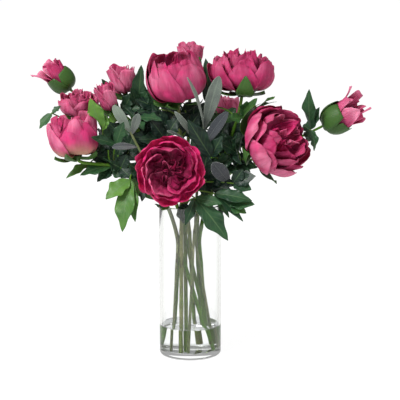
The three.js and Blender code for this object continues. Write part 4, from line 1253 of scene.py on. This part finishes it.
class BouquetBlooms(bpy.types.PropertyGroup):
    thickness: length_prop("Petal thickness", "Thickness of a petal", 0.0005)
    crumple: length_prop("Crumple", "How far petals are crumpled out of their smooth shape", 0.004)
    pink: colour_prop("Pink", "Body colour of the pink petals", (0.42, 0.05, 0.14))
    crimson: colour_prop("Crimson", "Body colour of the crimson petals", (0.8, 0.026, 0.19))
    # Deep crimson partly paints shade: in petal folds, on the petals deep in a bloom, and where petals
    # overlap at roots and side edges.
    deep: colour_prop("Deep crimson", "Colour at petal roots and in folds", (0.2, 0.004, 0.04))
    # The pale edge colour also partly paints the highlight where the rims of inner petals catch the light.
    edge: colour_prop("Edge", "Pale colour at petal edges", (0.78, 0.27, 0.4))
    cream: colour_prop("Cream", "Colour at the root of the palest petals", (0.62, 0.4, 0.25))


class BouquetFoliage(bpy.types.PropertyGroup):
    thickness: length_prop("Leaf thickness", "Thickness of a leaf", 0.0005)
    relief: length_prop("Relief", "Height of the quilting between a leaf's side veins", 0.0006)
    # The darkest leaf colour partly paints the shade inside the bunch.
    dark: colour_prop("Dark leaf", "Colour of the darkest leaves", (0.0055, 0.018, 0.012))
    middle: colour_prop("Leaf", "Colour of the leaves between dark and bright", (0.024, 0.078, 0.026))
    bright: colour_prop("Bright leaf", "Colour of the brightest leaves", (0.1, 0.22, 0.03))
    vein: colour_prop("Vein", "Colour of ribs and veins", (0.1, 0.17, 0.07))
    sepal: colour_prop("Sepal", "Colour of the sepals", (0.042, 0.11, 0.018))
    stalk: colour_prop("Stalk", "Green of the stems", (0.075, 0.2, 0.01))
    bark: colour_prop("Bark", "Grey-brown of the stems", (0.26, 0.235, 0.11))


class BouquetLambsEar(bpy.types.PropertyGroup):
    pale: colour_prop("Pale felt", "Colour of the palest velvet", (0.17, 0.21, 0.165))
    dark: colour_prop("Dark felt", "Colour of the darkest velvet", (0.03, 0.035, 0.042))
    stalk: colour_prop("Sprig stem", "Green of the sprigs' stems", (0.08, 0.17, 0.03))
    bark: colour_prop("Sprig bark", "Grey-brown of the sprigs' stems", (0.25, 0.23, 0.14))
    thickness: length_prop("Leaf thickness", "Thickness of a velvet leaf", 0.0009)
    relief: length_prop("Relief", "Height of the quilting of a velvet leaf", 0.0003)
    hair: length_prop("Hair", "Length of the fine hairs", 0.0012)
    hair_width: length_prop("Hair width", "Thickness of a hair at its root", 0.00006)
    density: number_prop("Hair density", "Hairs for each square metre", 8e5)


class BouquetStage(bpy.types.PropertyGroup):
    key: number_prop("Key light", "Power of the key light", 200, unit="POWER")
    fill: number_prop("Fill light", "Power of the fill light", 10, unit="POWER")
    sky: number_prop("Surroundings", "Brightness of the white room", 0.36)
    floor: length_prop("Floor", "Half the width of the pale floor", 6.0)
    distance: length_prop("Camera distance", "How far the camera stands from the vase", 3.2)
    height: length_prop("Camera height", "Height of the camera above the table", 0.93142)
    aside: length_prop("Camera offset", "How far the camera stands to the right", 0.01585)
    pitch: number_prop("Pitch", "How far the camera looks down", math.radians(11.936), subtype="ANGLE")
    lens: number_prop("Lens", "Focal length in millimetres", 183.06)


GROUPS = {
    "bouquet_vase": BouquetVase,
    "bouquet_blooms": BouquetBlooms,
    "bouquet_foliage": BouquetFoliage,
    "bouquet_lambs_ear": BouquetLambsEar,
    "bouquet_stage": BouquetStage,
}


def second_material(piece, skin, wanted):
    """Gives another material to the faces that are wanted."""
    piece.data.materials.append(skin)
    for polygon in piece.data.polygons:
        polygon.material_index = int(wanted(polygon))


class BOUQUET_OT_vase(bpy.types.Operator):
    """Make the clear glass cylinder vase"""

    bl_idname = "bouquet.vase"
    bl_label = "Vase"

    def execute(self, context):
        look = context.scene.bouquet_vase
        _, (radius, _, height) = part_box("vase")
        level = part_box("water")[1][2]
        inner = radius - look.wall
        lip = look.wall / 2
        profile = [(0, FOOT_HOLLOW), (0.5 * radius, FOOT_HOLLOW), (radius - look.heel - FOOT_RIM, 0.0)]
        profile += arc((radius - look.heel, look.heel), look.heel, -90, 0)
        profile += [(radius, height * k / VASE_RINGS) for k in range(1, VASE_RINGS)]
        profile += arc((radius - lip, height - lip), lip, 0, 180, LIP_STEPS)
        profile += [(inner, height * k / VASE_RINGS) for k in range(VASE_RINGS - 1, 1, -1)]
        profile += [(inner, level)]
        profile += arc((inner - look.heel, look.floor + look.heel), look.heel, 0, -90)
        profile += [(0.5 * inner, look.floor + FLOOR_SWELL - 2 * SLIVER), (0, look.floor + FLOOR_SWELL)]
        glass = clear_material("vase_glass", look.glass, look.glass_edge, GLASS_IOR)
        wetted = clear_material("wetted_glass", look.glass, look.glass_edge, GLASS_IOR / WATER_IOR)
        piece = turned("glass_vase", profile, VASE_SIDES, glass)

        def in_water(polygon):
            inside = polygon.center.to_2d().length < inner + SLIVER
            return inside and look.floor - SLIVER < polygon.center.z < level

        second_material(piece, wetted, in_water)
        finish_piece(piece, "vase")
        return {"FINISHED"}


class BOUQUET_OT_water(bpy.types.Operator):
    """Fill the vase with a little water"""

    bl_idname = "bouquet.water"
    bl_label = "Water"

    def execute(self, context):
        look = context.scene.bouquet_vase
        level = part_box("water")[1][2]
        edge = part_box("vase")[1][0] - look.wall - SLIVER
        floor = look.floor + FLOOR_SWELL + SLIVER
        profile = [(0, floor), (0.5 * edge, floor - SLIVER)]
        profile += arc((edge - look.heel, floor + look.heel - 3 * SLIVER), look.heel, -90, 0)
        profile += [(edge, level + look.meniscus)]
        for k in range(1, CORNER_STEPS + 1):
            out = MENISCUS_REACH * (k / CORNER_STEPS) ** 1.5
            profile.append((edge - out, level + look.meniscus * (math.exp(-0.4 * k) - 0.04)))
        profile += [(0.5 * edge, level), (0, level)]
        top = clear_material("water_surface", look.water, look.water_edge, WATER_IOR)
        side = clear_material("water_at_glass", look.water, look.water, 1.0)
        piece = turned("still_water", profile, VASE_SIDES, side)
        second_material(piece, top, lambda polygon: polygon.normal.z > 0.02)
        finish_piece(piece, "water")
        return {"FINISHED"}


class BOUQUET_OT_stems(bpy.types.Operator):
    """Grow the peony stems with their leaves, receptacles and sepals"""

    bl_idname = "bouquet.stems"
    bl_label = "Peony stems"

    def execute(self, context):
        look = context.scene.bouquet_foliage
        top = leaf_material("leaf_top", look.dark, look.middle, look.bright, look.vein, 0.42)
        shades = [tinted(look.dark, 2.4), tinted(look.middle, 1.2), tinted(look.bright, 0.8)]
        under = leaf_material("leaf_underside", *shades, tinted(look.vein, 1.3), 0.6)
        shades = [tinted(look.sepal, 0.5), tinted(look.sepal, 0.75), look.sepal]
        sepal = leaf_material("sepal", *shades, look.sepal, 0.5)
        skin = stalk_material("stem_skin", look.stalk, look.bark)
        leaflets = leaf_tree()
        stalks = stalk_tree()
        whorls = petal_tree()
        for name in STEMS:
            runs, blades = stem_seeds(name)
            mesh = seed_mesh(name + "_leaflets", blades)
            inputs = LEAF_GRID | {"Relief": look.relief}
            pieces = [
                grow_stalks(name + "_stalks", runs, stalks, skin, STEM_SIDES),
                grow(name + "_leaves", mesh, leaflets, [top, under], look.thickness, **inputs),
            ]
            for bud in carried_by(name):
                flower = BLOOMS[bud]
                mesh = seed_mesh(bud + "_sepals", sepal_seeds(flower))
                inputs = bloom_inputs(flower, SEPAL_GRID, SEPAL_CRUMPLE)
                pieces.append(grow(bud + "_calyx", mesh, whorls, [sepal], SEPAL_THICKNESS, **inputs))
                pieces.append(receptacle(bud + "_receptacle", flower, sepal))
            finish_piece(joined("peony_stem_" + name, pieces), "stem_" + name)
        return {"FINISHED"}


class BOUQUET_OT_lambs_ear(bpy.types.Operator):
    """Grow the lamb's-ear sprigs with their velvet leaves and fine hairs"""

    bl_idname = "bouquet.lambs_ear"
    bl_label = "Lamb's ear"

    def execute(self, context):
        look = context.scene.bouquet_lambs_ear
        felt = felt_material("lambs_ear_felt", look.pale, look.dark)
        skin = stalk_material("sprig_skin", look.stalk, look.bark)
        leaflets = leaf_tree()
        stalks = stalk_tree()
        hairs = hair_tree()
        shape = {"sag": 0.1, "fold": 0.2, "lobes": 0.0, "blunt": 1.0}
        for number, (name, (foot, neck, end, aim, leaves)) in enumerate(SPRIGS.items()):
            start = Vector((*foot, VASE_FLOOR + GAP + SPRIG_RADIUS * 0.2))
            neck = Vector((*neck, NECK_HEIGHT))
            way = StemWay(start, neck, Vector(end), Vector(aim).normalized(), SPRIG_LIFT, SPRIG_REACH)
            run = way_seeds(way, SPRIG_RADIUS, STEM_TAPER, SPRIG_TONE, SPRIG_STEPS, KNOT_SWELL)
            blades = []
            for k, (at, tip, half, face, tone) in enumerate(leaves):
                count = VELVET_NUMBERS + 9 * number + k
                blades.append(leaflet_seed(way.point(at), tip, half, face, count, tone, **shape))
            mesh = seed_mesh(name + "_blades", blades)
            inputs = LEAF_GRID | {"Relief": look.relief}
            velvet = grow(name + "_velvet", mesh, leaflets, [felt], look.thickness, **inputs)
            inputs = {"Density": look.density, "Length": look.hair, "Width": look.hair_width, "Seed": number}
            down = grow(name + "_down", velvet.data.copy(), hairs, [felt], **inputs)
            pieces = [grow_stalks(name + "_stalk", [run], stalks, skin, SPRIG_SIDES), velvet, down]
            finish_piece(joined("lambs_ear_sprig_" + name, pieces), "lambs_ear_" + name)
        return {"FINISHED"}


class BOUQUET_OT_blooms(bpy.types.Operator):
    """Grow every peony bloom and bud from its whorls of petals"""

    bl_idname = "bouquet.blooms"
    bl_label = "Peony blooms"

    def execute(self, context):
        look = context.scene.bouquet_blooms
        whorls = petal_tree()
        heart = tinted(look.crimson, 0.8)
        pale = [heart, look.edge, look.cream]
        pink = petal_material("pink_petal", look.deep, tinted(look.pink, 0.9), *pale)
        pink_back = petal_material("pink_petal_back", tinted(look.deep, 1.2), look.pink, *pale)
        mauve = [0.4 * red + 0.5 * rose for red, rose in zip(look.crimson, look.edge)]
        # For the crimson bloom the deep colour is far darker and the heart half as bright as its body:
        # painted shade in its open heart.
        shades = [tinted(look.deep, 0.35), look.crimson, tinted(look.crimson, 0.5)]
        crimson = petal_material("crimson_petal", *shades, mauve, mauve)
        for name, flower in BLOOMS.items():
            sides = [crimson, crimson] if flower.crimson else [pink, pink_back]
            mesh = seed_mesh(name + "_petals", petal_seeds(flower))
            inputs = bloom_inputs(flower, PETAL_GRID, look.crumple * flower.radius / LARGE_BLOOM)
            petals = grow(name + "_petals", mesh, whorls, sides, look.thickness, **inputs)
            middle = core(name + "_core", flower, sides[0])
            finish_piece(joined("peony_" + name, [petals, middle]), "bloom_" + name)
        return {"FINISHED"}


def light(name, power, size, place):
    """A soft square lamp that looks at the middle of the bouquet."""
    lamp = bpy.data.lights.new(name, "AREA")
    lamp.energy = power
    lamp.size = size
    source = bpy.data.objects.new(name, lamp)
    source.location = place
    aim = Vector((0, 0, MIDDLE_HEIGHT)) - Vector(place)
    source.rotation_euler = aim.to_track_quat("-Z", "Y").to_euler()
    bpy.context.collection.objects.link(source)


def floor_material():
    def build(tree):
        return {"Roughness": tree.smooth(tree.noise(tree.object_place(), 12.0, 2.0), 0.3, 0.7, 0.85, 0.9)}

    glow = {"Emission_Color": (1, 1, 1, 1), "Emission_Strength": 0.94}
    return material("pale_floor", build, Base_Color=(0.15, 0.15, 0.15, 1), Specular_IOR_Level=0.0, **glow)


class BOUQUET_OT_stage(bpy.types.Operator):
    """Set the pale floor, the soft studio light and the camera"""

    bl_idname = "bouquet.stage"
    bl_label = "Stage"

    def execute(self, context):
        look = context.scene.bouquet_stage
        context.scene.view_settings.view_transform = "Standard"
        corners = [(x * look.floor, y * look.floor, 0) for x, y in ((-1, -1), (1, -1), (1, 1), (-1, 1))]
        mesh = bpy.data.meshes.new("floor")
        mesh.from_pydata(corners, [], [(0, 1, 2, 3)])
        mesh.materials.append(floor_material())
        linked("floor", mesh)
        world = bpy.data.worlds.new("white_room")
        context.scene.world = world
        world.use_nodes = True
        background = world.node_tree.nodes["Background"]
        background.inputs["Color"].default_value = (1, 1, 1, 1)
        background.inputs["Strength"].default_value = look.sky
        light("key_light", look.key, KEY_WIDTH, KEY_PLACE)
        light("fill_light", look.fill, FILL_WIDTH, FILL_PLACE)
        camera = bpy.data.cameras.new("camera")
        camera.sensor_width = 36
        camera.lens = look.lens
        eye = linked("camera", camera)
        eye.location = (look.aside, -look.distance, look.height)
        eye.rotation_euler = (math.pi / 2 - look.pitch, 0, 0)
        context.scene.camera = eye
        return {"FINISHED"}


OPERATORS = (
    BOUQUET_OT_vase,
    BOUQUET_OT_water,
    BOUQUET_OT_stems,
    BOUQUET_OT_lambs_ear,
    BOUQUET_OT_blooms,
    BOUQUET_OT_stage,
)


class BOUQUET_PT_panel(bpy.types.Panel):
    """Lists the bouquet's pieces with their sizes and colours"""

    bl_idname = "BOUQUET_PT_panel"
    bl_label = "Bouquet"
    bl_space_type = "VIEW_3D"
    bl_region_type = "UI"
    bl_category = "Bouquet"

    def draw(self, context):
        for operator in OPERATORS:
            self.layout.operator(operator.bl_idname)
        for holder, group in GROUPS.items():
            box = self.layout.box()
            for name in group.__annotations__:
                box.prop(getattr(context.scene, holder), name)


def register():
    for holder, group in GROUPS.items():
        bpy.utils.register_class(group)
        setattr(bpy.types.Scene, holder, bpy.props.PointerProperty(type=group))
    for made in (*OPERATORS, BOUQUET_PT_panel):
        bpy.utils.register_class(made)


def unregister():
    for made in reversed((*OPERATORS, BOUQUET_PT_panel)):
        bpy.utils.unregister_class(made)
    for holder, group in reversed(GROUPS.items()):
        delattr(bpy.types.Scene, holder)
        bpy.utils.unregister_class(group)


def main():
    register()
    bpy.ops.bouquet.stage()
    bpy.ops.bouquet.vase()
    bpy.ops.bouquet.water()
    bpy.ops.bouquet.stems()
    bpy.ops.bouquet.lambs_ear()
    bpy.ops.bouquet.blooms()


if __name__ == "__main__":
    main()
